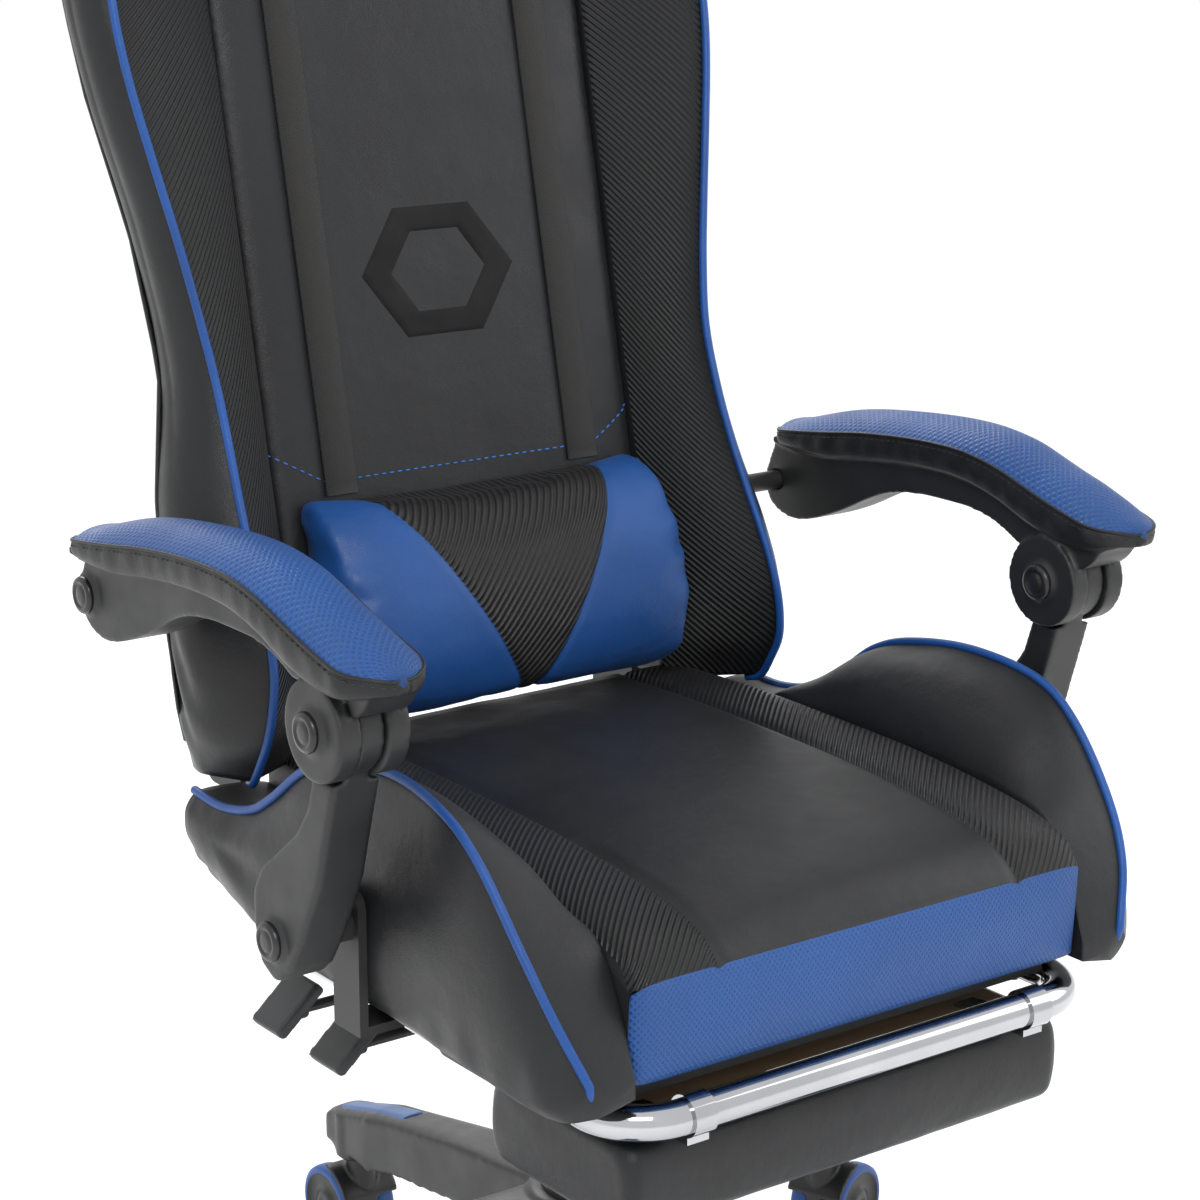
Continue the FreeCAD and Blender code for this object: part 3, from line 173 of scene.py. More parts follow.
def tube_loft(name, rings, spans, slots, panel_slots, cap_bulge=0.0):
    """Closed skin round rings of key points. A span is (faces, bulge): the cover swells by the
    bulge between two key points, and the key points themselves are its seams."""
    rings = np.asarray(rings, float)
    count, keys, _ = rings.shape
    centre = rings.mean(axis=1)
    columns, panels, across, seam = [], [], [], 0.0
    for k, (faces, bulge) in enumerate(spans):
        a, b = rings[:, k], rings[:, (k + 1) % keys]
        chord = b - a
        length = np.maximum(np.linalg.norm(chord, axis=1, keepdims=True), 1e-6)
        out = (a + b) / 2 - centre
        out -= chord * (np.sum(out * chord, axis=1, keepdims=True) / length ** 2)
        out /= np.maximum(np.linalg.norm(out, axis=1, keepdims=True), 1e-6)
        swell = np.broadcast_to(np.asarray(bulge, float).reshape(-1, 1), (count, 1))
        swell = np.minimum(swell, length * 0.3)
        for i in range(faces):
            t = i / faces
            columns.append(a + chord * t + out * swell * (1 - abs(2 * t - 1) ** 2.4))
            panels.append(k)
            across.append(seam + float(length.mean()) * t)
        seam += float(length.mean())
    grid = np.stack(columns, axis=1)
    wide = grid.shape[1]
    along = np.concatenate([[0], np.cumsum(np.linalg.norm(np.diff(centre, axis=0), axis=1))])
    points = grid.reshape(-1, 3)
    uv = np.stack([np.tile(across, count), np.repeat(along, wide)], axis=1)
    faces, face_slots = [], []
    for v in range(count - 1):
        for u in range(wide):
            w = (u + 1) % wide
            faces.append((v * wide + u, v * wide + w, (v + 1) * wide + w, (v + 1) * wide + u))
            face_slots.append(panel_slots[panels[u]])
    for row, outward in ((0, centre[0] - centre[1]), (count - 1, centre[-1] - centre[-2])):
        outward = outward / np.linalg.norm(outward)
        previous = list(range(row * wide, row * wide + wide))
        for shrink in (0.94, 0.8, 0.5, 0.2):
            lift = cap_bulge * (1 - shrink ** 2)
            fresh = centre[row] + (grid[row] - centre[row]) * shrink + outward * lift
            start = len(points)
            points = np.vstack([points, fresh])
            uv = np.vstack([uv, uv[row * wide:row * wide + wide]])
            ring = list(range(start, start + wide))
            for u in range(wide):
                w = (u + 1) % wide
                quad = (previous[u], previous[w], ring[w], ring[u])
                faces.append(quad if row else quad[::-1])
                face_slots.append(panel_slots[panels[u]])
            previous = ring
        faces.append(tuple(previous) if row else tuple(previous[::-1]))
        face_slots.append(panel_slots[0])
    return new_object(name, points, faces, slots, face_slots, uv)


# %% [markdown]
# ## Shader helper
# Every finish is a small node network on Object coordinates or on the piece's own cut. The helper
# makes a node, sets its plain numbers and links what is already a socket.

# %% Node networks


class Finish:
    """A material and its nodes."""

    def __init__(self, name):
        self.material = bpy.data.materials.new(name)
        self.material.use_nodes = True
        self.nodes = self.material.node_tree.nodes
        self.links = self.material.node_tree.links
        self.nodes.clear()

    def node(self, kind, inputs=None, **settings):
        made = self.nodes.new(kind)
        for key, value in settings.items():
            setattr(made, key, value)
        for key, value in (inputs or {}).items():
            socket = made.inputs[key]
            if isinstance(value, bpy.types.NodeSocket):
                self.links.new(value, socket)
            else:
                socket.default_value = value
        return made

    def math(self, operation, a, b=0.0):
        return self.node("ShaderNodeMath", {0: a, 1: b}, operation=operation).outputs[0]

    def place(self, source="Object"):
        return self.node("ShaderNodeTexCoord").outputs[source]

    def noise(self, vector, scale, detail=2.0):
        made = self.node("ShaderNodeTexNoise", {"Vector": vector, "Scale": scale, "Detail": detail})
        return made.outputs["Fac"]

    def spread(self, value, low, high, to_low, to_high):
        made = self.node("ShaderNodeMapRange", {"Value": value, "From Min": low, "From Max": high,
                                                "To Min": to_low, "To Max": to_high})
        return made.outputs["Result"]

    def mix(self, share, a, b):
        made = self.node("ShaderNodeMix", data_type="RGBA")
        for index, value in ((0, share), (6, a), (7, b)):
            if isinstance(value, bpy.types.NodeSocket):
                self.links.new(value, made.inputs[index])
            else:
                made.inputs[index].default_value = value
        return made.outputs[2]

    def painted(self, name):
        return self.node("ShaderNodeAttribute", attribute_name=name).outputs["Fac"]

    def bump(self, height, distance, strength=1.0, normal=None):
        inputs = {"Height": height, "Distance": distance, "Strength": strength}
        if normal is not None:
            inputs["Normal"] = normal
        return self.node("ShaderNodeBump", inputs).outputs["Normal"]

    def surface(self, **inputs):
        names = {key.replace("_", " "): value for key, value in inputs.items()}
        shader = self.node("ShaderNodeBsdfPrincipled", names)
        out = self.node("ShaderNodeOutputMaterial")
        self.links.new(shader.outputs[0], out.inputs["Surface"])
        return self.material


def shade(colour, factor):
    return tuple(min(1.0, c * factor) for c in colour) + (1.0,)


# %% [markdown]
# ## Leather
# The cover is polyurethane leather: a fine pebble grain pressed into a thin skin with a low
# gloss. Cells of about a millimetre make the pebbles, and a slow noise varies colour and gloss as
# handling does. The same cloth is embossed with slanting ribs on the side strips and bolsters.

# %% Leather finishes
BLACK = (0.0085, 0.009, 0.0105)
BLUE = (0.008, 0.062, 0.235)
GRAIN = 0.0012
RIB_PITCH = 0.0052


def grain_height(f, vector, size):
    cells = f.node("ShaderNodeTexVoronoi", {"Vector": vector, "Scale": 1 / size},
                   feature="DISTANCE_TO_EDGE").outputs["Distance"]
    return f.spread(cells, 0.0, 0.25, 0.0, 1.0)


def rib_height(f, vector, pitch, slope):
    """Rounded ridges across a slanting direction of a flat cut."""
    turn = 2 * math.pi / pitch
    run = f.node("ShaderNodeVectorMath", {0: vector, 1: (turn, turn * slope, 0.0)}, operation="DOT_PRODUCT")
    wave = f.math("SINE", run.outputs["Value"])
    return f.spread(wave, -0.75, 1.0, 0.0, 1.0)


def leather(name, colour, roughness=0.40, ribs=None, ribs_on="UV", weave=None):
    f = Finish(name)
    place = f.place()
    tone = f.spread(f.noise(place, 9.0, 4.0), 0.3, 0.7, 0.0, 1.0)
    base = f.mix(tone, shade(colour, 0.82), shade(colour, 1.15))
    height = grain_height(f, place, GRAIN)
    normal = f.bump(height, 0.00012, 0.55)
    folds = f.noise(place, 60.0, 3.0)
    normal = f.bump(folds, 0.0016, 0.35, normal)
    rough = f.spread(f.noise(place, 23.0, 5.0), 0.3, 0.7, roughness - 0.05, roughness + 0.09)
    if ribs:
        cut = f.place("UV") if ribs_on == "UV" else place
        ridge = rib_height(f, cut, ribs, 1.0)
        normal = f.bump(ridge, 0.0011, 1.0, normal)
        # Painted shade: the rib grooves are coloured darker than the ridges, following the rib height.
        base = f.mix(ridge, shade(colour, 0.45), base)
    if weave:
        cut = f.place("UV") if ribs_on == "UV" else place
        one = rib_height(f, cut, weave, 0.8)
        two = rib_height(f, cut, weave, -0.8)
        knit = f.math("MAXIMUM", one, two)
        normal = f.bump(knit, 0.0005, 0.9, normal)
        # Painted shade: the grooves of the woven-look emboss are coloured darker than its raised ribs.
        base = f.mix(knit, shade(colour, 0.7), base)
    return f.surface(Base_Color=base, Roughness=rough, Normal=normal, Sheen_Weight=0.02,
                     Specular_IOR_Level=0.36)


black_leather = leather("black leather", BLACK)
side_leather = leather("black leather, soft gloss", BLACK, 0.34)
ribbed_leather = leather("black ribbed leather", BLACK, 0.42, ribs=RIB_PITCH)
blue_weave = leather("blue woven-look leather", (0.010, 0.070, 0.26), 0.42, weave=0.0042)
blue_band = leather("blue band leather", (0.010, 0.066, 0.245), 0.40, weave=0.0036)
piping_blue = leather("blue piping leather", (0.006, 0.06, 0.25), 0.36)


def two_tone(name, inside, outside, rib):
    """Leather of two panels: the painted seam distance is negative inside the ribbed panel."""
    f = Finish(name)
    place = f.place()
    edge = f.painted("seam")
    share = f.spread(edge, -0.6, 0.6, 0.0, 1.0)
    ridge = rib_height(f, f.node("ShaderNodeMapping", {"Vector": place, "Rotation": (math.pi / 2, 0, 0)})
                       .outputs[0], rib, 0.9)
    tone = f.spread(f.noise(place, 8.0, 4.0), 0.3, 0.7, 0.0, 1.0)
    # Painted shade: the rib grooves of the black panel are coloured darker than the ridges, following the rib
    # height.
    ribbed_dark_with_painted_groove_shade = f.mix(ridge, shade(inside, 0.4), shade(inside, 1.1))
    light = f.mix(tone, shade(outside, 0.8), shade(outside, 1.12))
    base = f.mix(share, ribbed_dark_with_painted_groove_shade, light)
    normal = f.bump(grain_height(f, place, GRAIN), 0.00012, 0.55)
    normal = f.bump(f.noise(place, 45.0, 3.0), 0.002, 0.4, normal)
    ribbed = f.math("MULTIPLY", ridge, f.math("SUBTRACT", 1.0, share))
    normal = f.bump(ribbed, 0.0010, 1.0, normal)
    rough = f.spread(f.noise(place, 20.0, 4.0), 0.3, 0.7, 0.34, 0.46)
    return f.surface(Base_Color=base, Roughness=rough, Normal=normal, Sheen_Weight=0.02,
                     Specular_IOR_Level=0.36)


pillow_leather = two_tone("pillow leather", (0.010, 0.010, 0.011), BLUE, 0.0056)

# %% [markdown]
# ## Plastic, metal and webbing
# The arms, posts and base are glass-filled nylon: a fine spark-eroded texture that looks grey at
# a glancing angle. The footrest bar is polished chrome, the hidden steel is powder coated, and
# the pillow straps are knitted elastic.

# %% Hard finishes


def nylon(name, colour, roughness, texture=0.0008, depth=0.00006):
    f = Finish(name)
    place = f.place()
    fine = f.noise(place, 1 / texture, 3.0)
    normal = f.bump(fine, depth, 0.8)
    normal = f.bump(f.noise(place, 40.0, 2.0), 0.0005, 0.15, normal)
    tone = f.spread(f.noise(place, 14.0, 4.0), 0.3, 0.7, 0.0, 1.0)
    base = f.mix(tone, shade(colour, 0.85), shade(colour, 1.2))
    rough = f.spread(f.noise(place, 35.0, 5.0), 0.3, 0.7, roughness - 0.06, roughness + 0.08)
    return f.surface(Base_Color=base, Roughness=rough, Normal=normal)


def metal(name, colour, roughness, scratch=0.0, metallic=1.0):
    f = Finish(name)
    place = f.place()
    stretched = f.node("ShaderNodeMapping", {"Vector": place, "Scale": (40.0, 900.0, 900.0)}).outputs[0]
    marks = f.noise(stretched, 1.0, 3.0)
    rough = f.spread(marks, 0.3, 0.7, roughness, roughness + 0.04 + scratch)
    normal = f.bump(f.noise(place, 30.0, 2.0), 0.0002, 0.1)
    tone = f.spread(f.noise(place, 20.0, 3.0), 0.3, 0.7, 0.0, 1.0)
    base = f.mix(tone, shade(colour, 0.9), shade(colour, 1.05))
    return f.surface(Base_Color=base, Roughness=rough, Normal=normal, Metallic=metallic)


def webbing_finish():
    f = Finish("elastic webbing")
    place = f.place()
    rows = f.node("ShaderNodeVectorMath", {0: place, 1: (0.0, 0.0, 2 * math.pi / 0.0016)},
                  operation="DOT_PRODUCT").outputs["Value"]
    columns = f.node("ShaderNodeVectorMath", {0: place, 1: (2 * math.pi / 0.0022, 0.0, 0.0)},
                     operation="DOT_PRODUCT").outputs["Value"]
    knit = f.math("MULTIPLY", f.math("SINE", rows), f.math("SINE", columns))
    normal = f.bump(knit, 0.0003, 0.8)
    # Painted shade: the hollows of the knit are coloured darker than its raised loops, following the knit height.
    base = f.mix(f.spread(knit, -1.0, 1.0, 0.0, 1.0), (0.010, 0.0095, 0.009, 1), (0.024, 0.022, 0.021, 1))
    return f.surface(Base_Color=base, Roughness=0.78, Normal=normal, Sheen_Weight=0.05)


def plywood_finish():
    f = Finish("plywood")
    place = f.node("ShaderNodeMapping", {"Vector": f.place(), "Scale": (6.0, 60.0, 60.0)}).outputs[0]
    rings = f.noise(place, 2.0, 6.0)
    base = f.mix(rings, (0.30, 0.19, 0.10, 1), (0.52, 0.37, 0.22, 1))
    return f.surface(Base_Color=base, Roughness=0.65, Normal=f.bump(rings, 0.0003, 0.4))


black_nylon = nylon("textured black nylon", (0.012, 0.0125, 0.0135), 0.46)
base_nylon = nylon("base nylon", (0.014, 0.0145, 0.0155), 0.40)
cap_nylon = nylon("smooth black caps", (0.012, 0.012, 0.013), 0.30, 0.0015, 0.00002)
grip_nylon = nylon("lever grip", (0.022, 0.023, 0.025), 0.42)
blue_plastic = nylon("blue moulded insert", (0.030, 0.105, 0.30), 0.38, 0.0006, 0.00003)
blue_tread = nylon("blue wheel tread", (0.014, 0.075, 0.27), 0.48, 0.0012, 0.00004)
chrome = metal("polished chrome", (0.50, 0.51, 0.53), 0.07)
zinc = metal("zinc plate", (0.55, 0.55, 0.56), 0.28, 0.06)
black_coat = metal("black powder coat", (0.02, 0.02, 0.021), 0.42, 0.05, 0.0)
webbing = webbing_finish()
plywood = plywood_finish()
thread_blue = nylon("blue sewing thread", (0.02, 0.14, 0.50), 0.6, 0.0004, 0.00005)
thread_black = nylon("black sewing thread", (0.012, 0.012, 0.012), 0.6, 0.0004, 0.00005)
print("finishes:", len(bpy.data.materials))

# %% [markdown]
# ## Geometry Nodes for threads and piping
# A row of stitches is one short thread repeated along a path, and piping is a cord in leather that
# follows a seam. Both follow a path exactly, so Geometry Nodes make them from a curve: the row
# puts a bead of thread at each step and turns it to the path, and the piping sweeps a circle.

# %% Node trees for what follows a path


def path_tree(name, numbers, build):
    tree = bpy.data.node_groups.new(name, "GeometryNodeTree")
    tree.interface.new_socket("Path", in_out="INPUT", socket_type="NodeSocketGeometry")
    for label, value in numbers:
        tree.interface.new_socket(label, in_out="INPUT", socket_type="NodeSocketFloat").default_value = value
    tree.interface.new_socket("Finish", in_out="INPUT", socket_type="NodeSocketMaterial")
    tree.interface.new_socket("Made", in_out="OUTPUT", socket_type="NodeSocketGeometry")
    source = tree.nodes.new("NodeGroupInput")
    result = build(tree, source)
    finish = tree.nodes.new("GeometryNodeSetMaterial")
    tree.links.new(result, finish.inputs["Geometry"])
    tree.links.new(source.outputs["Finish"], finish.inputs["Material"])
    out = tree.nodes.new("NodeGroupOutput")
    tree.links.new(finish.outputs["Geometry"], out.inputs["Made"])
    return tree


def build_stitches(tree, source):
    link = tree.links.new
    steps = tree.nodes.new("GeometryNodeCurveToPoints")
    steps.mode = "LENGTH"
    link(source.outputs["Path"], steps.inputs["Curve"])
    link(source.outputs["Pitch"], steps.inputs["Length"])
    thread = tree.nodes.new("GeometryNodeMeshUVSphere")
    thread.inputs["Segments"].default_value = 8
    thread.inputs["Rings"].default_value = 6
    thread.inputs["Radius"].default_value = 1.0
    size = tree.nodes.new("ShaderNodeCombineXYZ")
    link(source.outputs["Half length"], size.inputs["X"])
    link(source.outputs["Radius"], size.inputs["Y"])
    link(source.outputs["Radius"], size.inputs["Z"])
    turn = tree.nodes.new("FunctionNodeAlignRotationToVector")
    turn.axis = "X"
    link(steps.outputs["Tangent"], turn.inputs["Vector"])
    place = tree.nodes.new("GeometryNodeInstanceOnPoints")
    link(steps.outputs["Points"], place.inputs["Points"])
    link(thread.outputs["Mesh"], place.inputs["Instance"])
    link(turn.outputs["Rotation"], place.inputs["Rotation"])
    link(size.outputs["Vector"], place.inputs["Scale"])
    real = tree.nodes.new("GeometryNodeRealizeInstances")
    link(place.outputs["Instances"], real.inputs["Geometry"])
    return real.outputs["Geometry"]


def build_piping(tree, source):
    link = tree.links.new
    circle = tree.nodes.new("GeometryNodeCurvePrimitiveCircle")
    circle.inputs["Resolution"].default_value = 14
    link(source.outputs["Radius"], circle.inputs["Radius"])
    sweep = tree.nodes.new("GeometryNodeCurveToMesh")
    sweep.inputs["Fill Caps"].default_value = True
    link(source.outputs["Path"], sweep.inputs["Curve"])
    link(circle.outputs["Curve"], sweep.inputs["Profile Curve"])
    soft = tree.nodes.new("GeometryNodeSetShadeSmooth")
    link(sweep.outputs["Mesh"], soft.inputs["Geometry"])
    real = tree.nodes.new("GeometryNodeRealizeInstances")
    link(soft.outputs["Geometry"], real.inputs["Geometry"])
    return real.outputs["Geometry"]


stitch_tree = path_tree("row of stitches", (("Pitch", 0.006), ("Half length", 0.002), ("Radius", 0.0005)),
                        build_stitches)
piping_tree = path_tree("piping", (("Radius", 0.0028),), build_piping)


def follow(name, paths, tree, material, **numbers):
    """One mesh made by a tree along one or more paths in millimetres."""
    curve = bpy.data.curves.new(name, "CURVE")
    curve.dimensions = "3D"
    for path in paths:
        spline = curve.splines.new("POLY")
        spline.points.add(len(path) - 1)
        flat = np.hstack([np.asarray(path, float) * MM, np.ones((len(path), 1))])
        spline.points.foreach_set("co", flat.ravel())
    carrier = bpy.data.objects.new(name + "_path", curve)
    bpy.context.scene.collection.objects.link(carrier)
    modifier = carrier.modifiers.new("made", "NODES")
    modifier.node_group = tree
    for item in tree.interface.items_tree:
        if item.in_out == "INPUT" and item.name == "Finish":
            modifier[item.identifier] = material
        elif item.in_out == "INPUT" and item.name in numbers:
            modifier[item.identifier] = numbers[item.name]
    graph = bpy.context.evaluated_depsgraph_get()
    mesh = bpy.data.meshes.new_from_object(carrier.evaluated_get(graph))
    bpy.data.objects.remove(carrier)
    bm = bmesh.new()
    bm.from_mesh(mesh)
    bmesh.ops.recalc_face_normals(bm, faces=bm.faces)
    bm.to_mesh(mesh)
    bm.free()
    mesh.name = name
    mesh.shade_smooth()
    obj = bpy.data.objects.new(name, mesh)
    bpy.context.scene.collection.objects.link(obj)
    return obj


def stitches(name, paths, material, pitch=0.0062, half=0.0021, radius=0.00055):
    return follow(name, paths, stitch_tree, material,
                  **{"Pitch": pitch, "Half length": half, "Radius": radius})


def piping(name, paths, radius=0.0029):
    return follow(name, paths, piping_tree, piping_blue, Radius=radius)


def on_surface(obj, path, direction, lift=0.0):
    """Path in millimetres dropped onto an object along a direction, and lifted back a little."""
    tree = BVHTree.FromObject(obj, bpy.context.evaluated_depsgraph_get())
    direction = Vector(direction).normalized()
    landed = []
    for point in path:
        start = Vector(point) * MM - direction * 0.2
        hit = tree.ray_cast(start, direction)[0]
        if hit is not None:
            landed.append(np.array(hit - direction * lift * MM) / MM)
    return landed


def finished(obj, body, slot, *nodes, fill=None):
    """Puts a piece on its body and hides the CAD nodes that it stands for; slot is not used."""
    if nodes:
        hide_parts(*nodes)
    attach(obj, body)
    return obj


# %% [markdown]
# ## Stuffing by simulation
# A pillow is a bag under pressure. Its plain form is remeshed into even cells, swells as cloth
# with gravity off, and a limit on how far a point may go keeps it in its CAD space.

# %% Cloth puffing


def stuff(obj, voxel, pressure, limit, frames=18):
    """Swells a closed mesh as cloth and returns it smooth; limit is in millimetres."""
    remesh = obj.modifiers.new("even cells", "REMESH")
    remesh.mode = "VOXEL"
    remesh.voxel_size = voxel * MM
    remesh.use_smooth_shade = True
    baked(obj)
    start = coordinates(obj)
    cloth = obj.modifiers.new("stuffing", "CLOTH")
    settings = cloth.settings
    settings.quality = 4
    settings.mass = 0.3
    settings.tension_stiffness = 12
    settings.compression_stiffness = 12
    settings.shear_stiffness = 5
    settings.bending_stiffness = 0.6
    settings.use_pressure = True
    settings.uniform_pressure_force = pressure
    settings.effector_weights.gravity = 0
    cloth.collision_settings.use_collision = False
    scene = bpy.context.scene
    scene.frame_start, scene.frame_end = 1, frames
    cloth.point_cache.frame_start, cloth.point_cache.frame_end = 1, frames
    for number in range(1, frames + 1):
        scene.frame_set(number)
    baked(obj)
    scene.frame_set(1)
    moved = coordinates(obj) - start
    far = np.linalg.norm(moved, axis=1, keepdims=True)
    moved *= np.minimum(1, limit / np.maximum(far, 1e-6))
    set_coordinates(obj, start + moved)
    print(obj.name, "swelled by up to", round(float(far.max()), 1), "mm, kept to", limit)
    return obj


def refined(obj, levels=1):
    modifier = obj.modifiers.new("fine", "SUBSURF")
    modifier.levels = modifier.render_levels = levels
    return baked(obj)

# %% [markdown]
# ## Seat cushion
# One foam block with a leather cover: a smooth centre panel, a ribbed strip along each side and a
# blue band across the front. The cover is a sheet of rows from the front edge to the back, so its
# seams fall exactly between two rows, and the foam crowns the cover between the seams.

# %% Seat cushion
LEAN = math.tan(math.radians(12))
SEAT_SEAM = 118.0
SEAT_PROFILE = ((124, 495), (60, 495.5), (0, 496), (-60, 495.3), (-120, 494), (-160, 491.6), (-200, 488),
                (-230, 484), (-252, 479), (-270, 472), (-280, 464.5), (-286, 457))
SEAT_FRONT_LOW = (-282.0, 394.0)


def panel_y(z):
    return 158 + (z - 661) * LEAN


def seat_cover():
    low, high = box_mm("seat_cushion")
    half = high[0]
    top = smooth_keys(SEAT_PROFILE, 8)
    front = np.linspace(SEAT_PROFILE[-1], SEAT_FRONT_LOW, 16)[1:]
    under = np.linspace(SEAT_FRONT_LOW, (high[1], low[2]), 30)[1:]
    rear = np.linspace((high[1], low[2]), SEAT_PROFILE[0], 10)[1:-1]
    loop = np.vstack([top, front, under, rear])
    kinds = np.array(["top"] * len(top) + ["front"] * len(front) + ["under"] * (len(under) + len(rear)))
    xs = np.concatenate([np.linspace(-half, -SEAT_SEAM, 16)[:-1], np.linspace(-SEAT_SEAM, SEAT_SEAM, 49),
                         np.linspace(SEAT_SEAM, half, 16)[1:]])
    points, uv = [], []
    run = np.concatenate([[0], np.cumsum(np.linalg.norm(np.diff(loop, axis=0), axis=1))])
    for (y, z), kind, s in zip(loop, kinds, run):
        for x in xs:
            side = abs(x)
            dy = dz = 0.0
            if kind == "top":
                middle = 6.0 * (1 - (side / SEAT_SEAM) ** 2) ** 0.7 if side < SEAT_SEAM else 0.0
                strip = max(0.0, 1 - ((side - 148) / 30) ** 2) * 3.0 if side > SEAT_SEAM else 0.0
                open_part = float(ease(-y, -118, -40)) * float(ease(y, -287, -262))
                dz = (middle + strip) * open_part - 2.4 * math.exp(-((side - SEAT_SEAM) / 3.2) ** 2)
                dz -= 7.0 * math.exp(-(half - side) / 6.0)
            if kind == "front":
                t = (z - 394) / 63
                dy = -4.5 * (1 - abs(2 * t - 1) ** 2.2) * (1 - (side / half) ** 6)
            if kind != "under":
                dy += 6.0 * math.exp(-(half - side) / 5.0) * float(ease(-y, 270, 284))
            points.append((x, y + dy, z + dz))
            uv.append((x, s))
    wide, count = len(xs), len(loop)
    faces, slots = [], []
    for v in range(count):
        for u in range(wide - 1):
            w = (v + 1) % count
            faces.append((v * wide + u, v * wide + u + 1, w * wide + u + 1, w * wide + u))
            strip = abs(xs[u] + xs[u + 1]) / 2 > SEAT_SEAM
            if kinds[v] == "top" and kinds[w] == "front" or kinds[v] == "front":
                slots.append(2)
            elif kinds[v] == "top" and strip:
                slots.append(1)
            else:
                slots.append(0)
    faces.append(tuple(v * wide for v in range(count)))
    faces.append(tuple(v * wide + wide - 1 for v in reversed(range(count))))
    slots += [0, 0]
    obj = new_object("seat_cushion_cover", points, faces, (black_leather, ribbed_leather, blue_band),
                     slots, uv)
    points = coordinates(obj)
    on_top = (points[:, 2] > 460) & (abs(points[:, 0]) < SEAT_SEAM - 6)
    points[:, 2] += on_top * (0.9 * rumple(points, 70, 3.0) + 0.35 * rumple(points, 24, 9.0))
    set_coordinates(obj, points)
    return obj


seat_piece = finished(seat_cover(), "seat", "black_leather", "seat_cushion", fill=0.8)
print("seat cover", [round(v * 1000) for v in seat_piece.dimensions])

# %% [markdown]
# ## Seat wings
# A wing is a soft bolster beside the cushion. Its rings have a key point at each seam: the root
# under the cushion, the two lower edges, the piped crest and the line where it meets the cushion.
# The cover swells between them, and folds gather at the rear of the outer side.

# %% Wings and their piping
WING_KEYS = ((-286, 404, 210, 216, 384), (-272, 442, 224, 230, 380), (-250, 478, 231, 235, 382),
             (-214, 520, 234, 238, 386), (-178, 541, 234, 240, 388), (-120, 548, 230, 240, 390),
             (-60, 540, 230, 240, 391), (-18, 525, 232, 240, 392), (21, 497, 233, 240, 396),
             (49, 481, 233, 240, 402), (86, 473, 234, 239, 412), (124, 474, 233, 236, 424))


def seat_top(y):
    ys = [p[0] for p in reversed(SEAT_PROFILE)]
    zs = [p[1] for p in reversed(SEAT_PROFILE)]
    return float(np.interp(y, ys, zs))


def wing_cover(name, side):
    root = box_mm("wing_left")[0][0] + 0.2
    rings = []
    for y, crest, crest_x, outer_x, under in WING_KEYS:
        inner = min(seat_top(y) - 3, crest - 4)
        rings.append([(root, y, max(under, 389)), (crest_x - 6, y, under), (outer_x, y, under + 12),
                      (crest_x, y, crest), (root, y, inner)])
    rings = smooth_keys(rings, 7)
    ease_in = ease(rings[:, 3, 1], -288, -240)
    rise = ease(rings[:, 3, 2] - rings[:, 4, 2], 2, 50)
    spans = [(8, 0), (5, 1.5), (26, 5.0 * ease_in + 1.5), (26, 2.5 + 8.0 * rise), (8, 0)]
    obj = tube_loft(name, rings, spans, (black_leather, side_leather), (0, 1, 1, 0, 0), 3.0)
    points = coordinates(obj)
    gather = np.array([238.0, 96.0, 452.0])
    away = points - gather
    reach = np.linalg.norm(away[:, 1:], axis=1)
    angle = np.arctan2(away[:, 2], -away[:, 1])
    outer = ease(points[:, 0], 226, 236)
    folds = np.sin(angle * 7 + 1.3 * np.sin(angle * 3)) * np.exp(-reach / 70) * ease(reach, 8, 50)
    slack = rumple(points, 46, 2.0 + side)
    points[:, 0] += outer * (2.4 * folds + 1.3 * slack)
    low_edge = np.exp(-((points[:, 2] - 404) / 16) ** 2) * np.sin(points[:, 1] / 5.5) * outer
    points[:, 0] += 0.6 * low_edge
    points[:, 2] += (1 - outer) * 0.8 * rumple(points, 38, 5.0) * ease(points[:, 2], 440, 470)
    set_side(obj, points, side)
    return obj, rings[:, 3] * (side, 1, 1)


for label, side in SIDES:
    cover, crest = wing_cover("wing_cover_" + label, side)
    finished(cover, "seat", "black_leather", "wing_" + label, fill=0.7)
    seam = crest + (0.8 * side, 0, 1.2)
    start = seam[0] + (-1.5 * side, 2, -9)
    line = piping("wing_piping_" + label, [np.vstack([[start], seam])])
    finished(line, "seat", "blue_leather")
print("wings:", len(crest), "rings each")

# %% [markdown]
# ## Back bolsters
# The side cushions of the back start beside the hips, narrow at the waist and open out to the
# shoulders. The inner face is ribbed leather, the outer face is smooth and wraps to the rear, and
# blue piping runs up the crest between them.

# %% Bolsters and their piping
BOLSTER_KEYS = ((487, 230, 212, 84, 140), (520, 238, 212, 64, 140), (560, 240, 207, 62, 144),
                (600, 238, 204, 77, 156), (660, 229, 201, 108, 178), (740, 215, 200, 138, 194),
                (830, 224, 213, 158, 210), (920, 242, 230, 178, 229), (985, 248, 235, 194, 245),
                (1035, 237, 222, 212, 257), (1080, 205, 190, 230, 277))


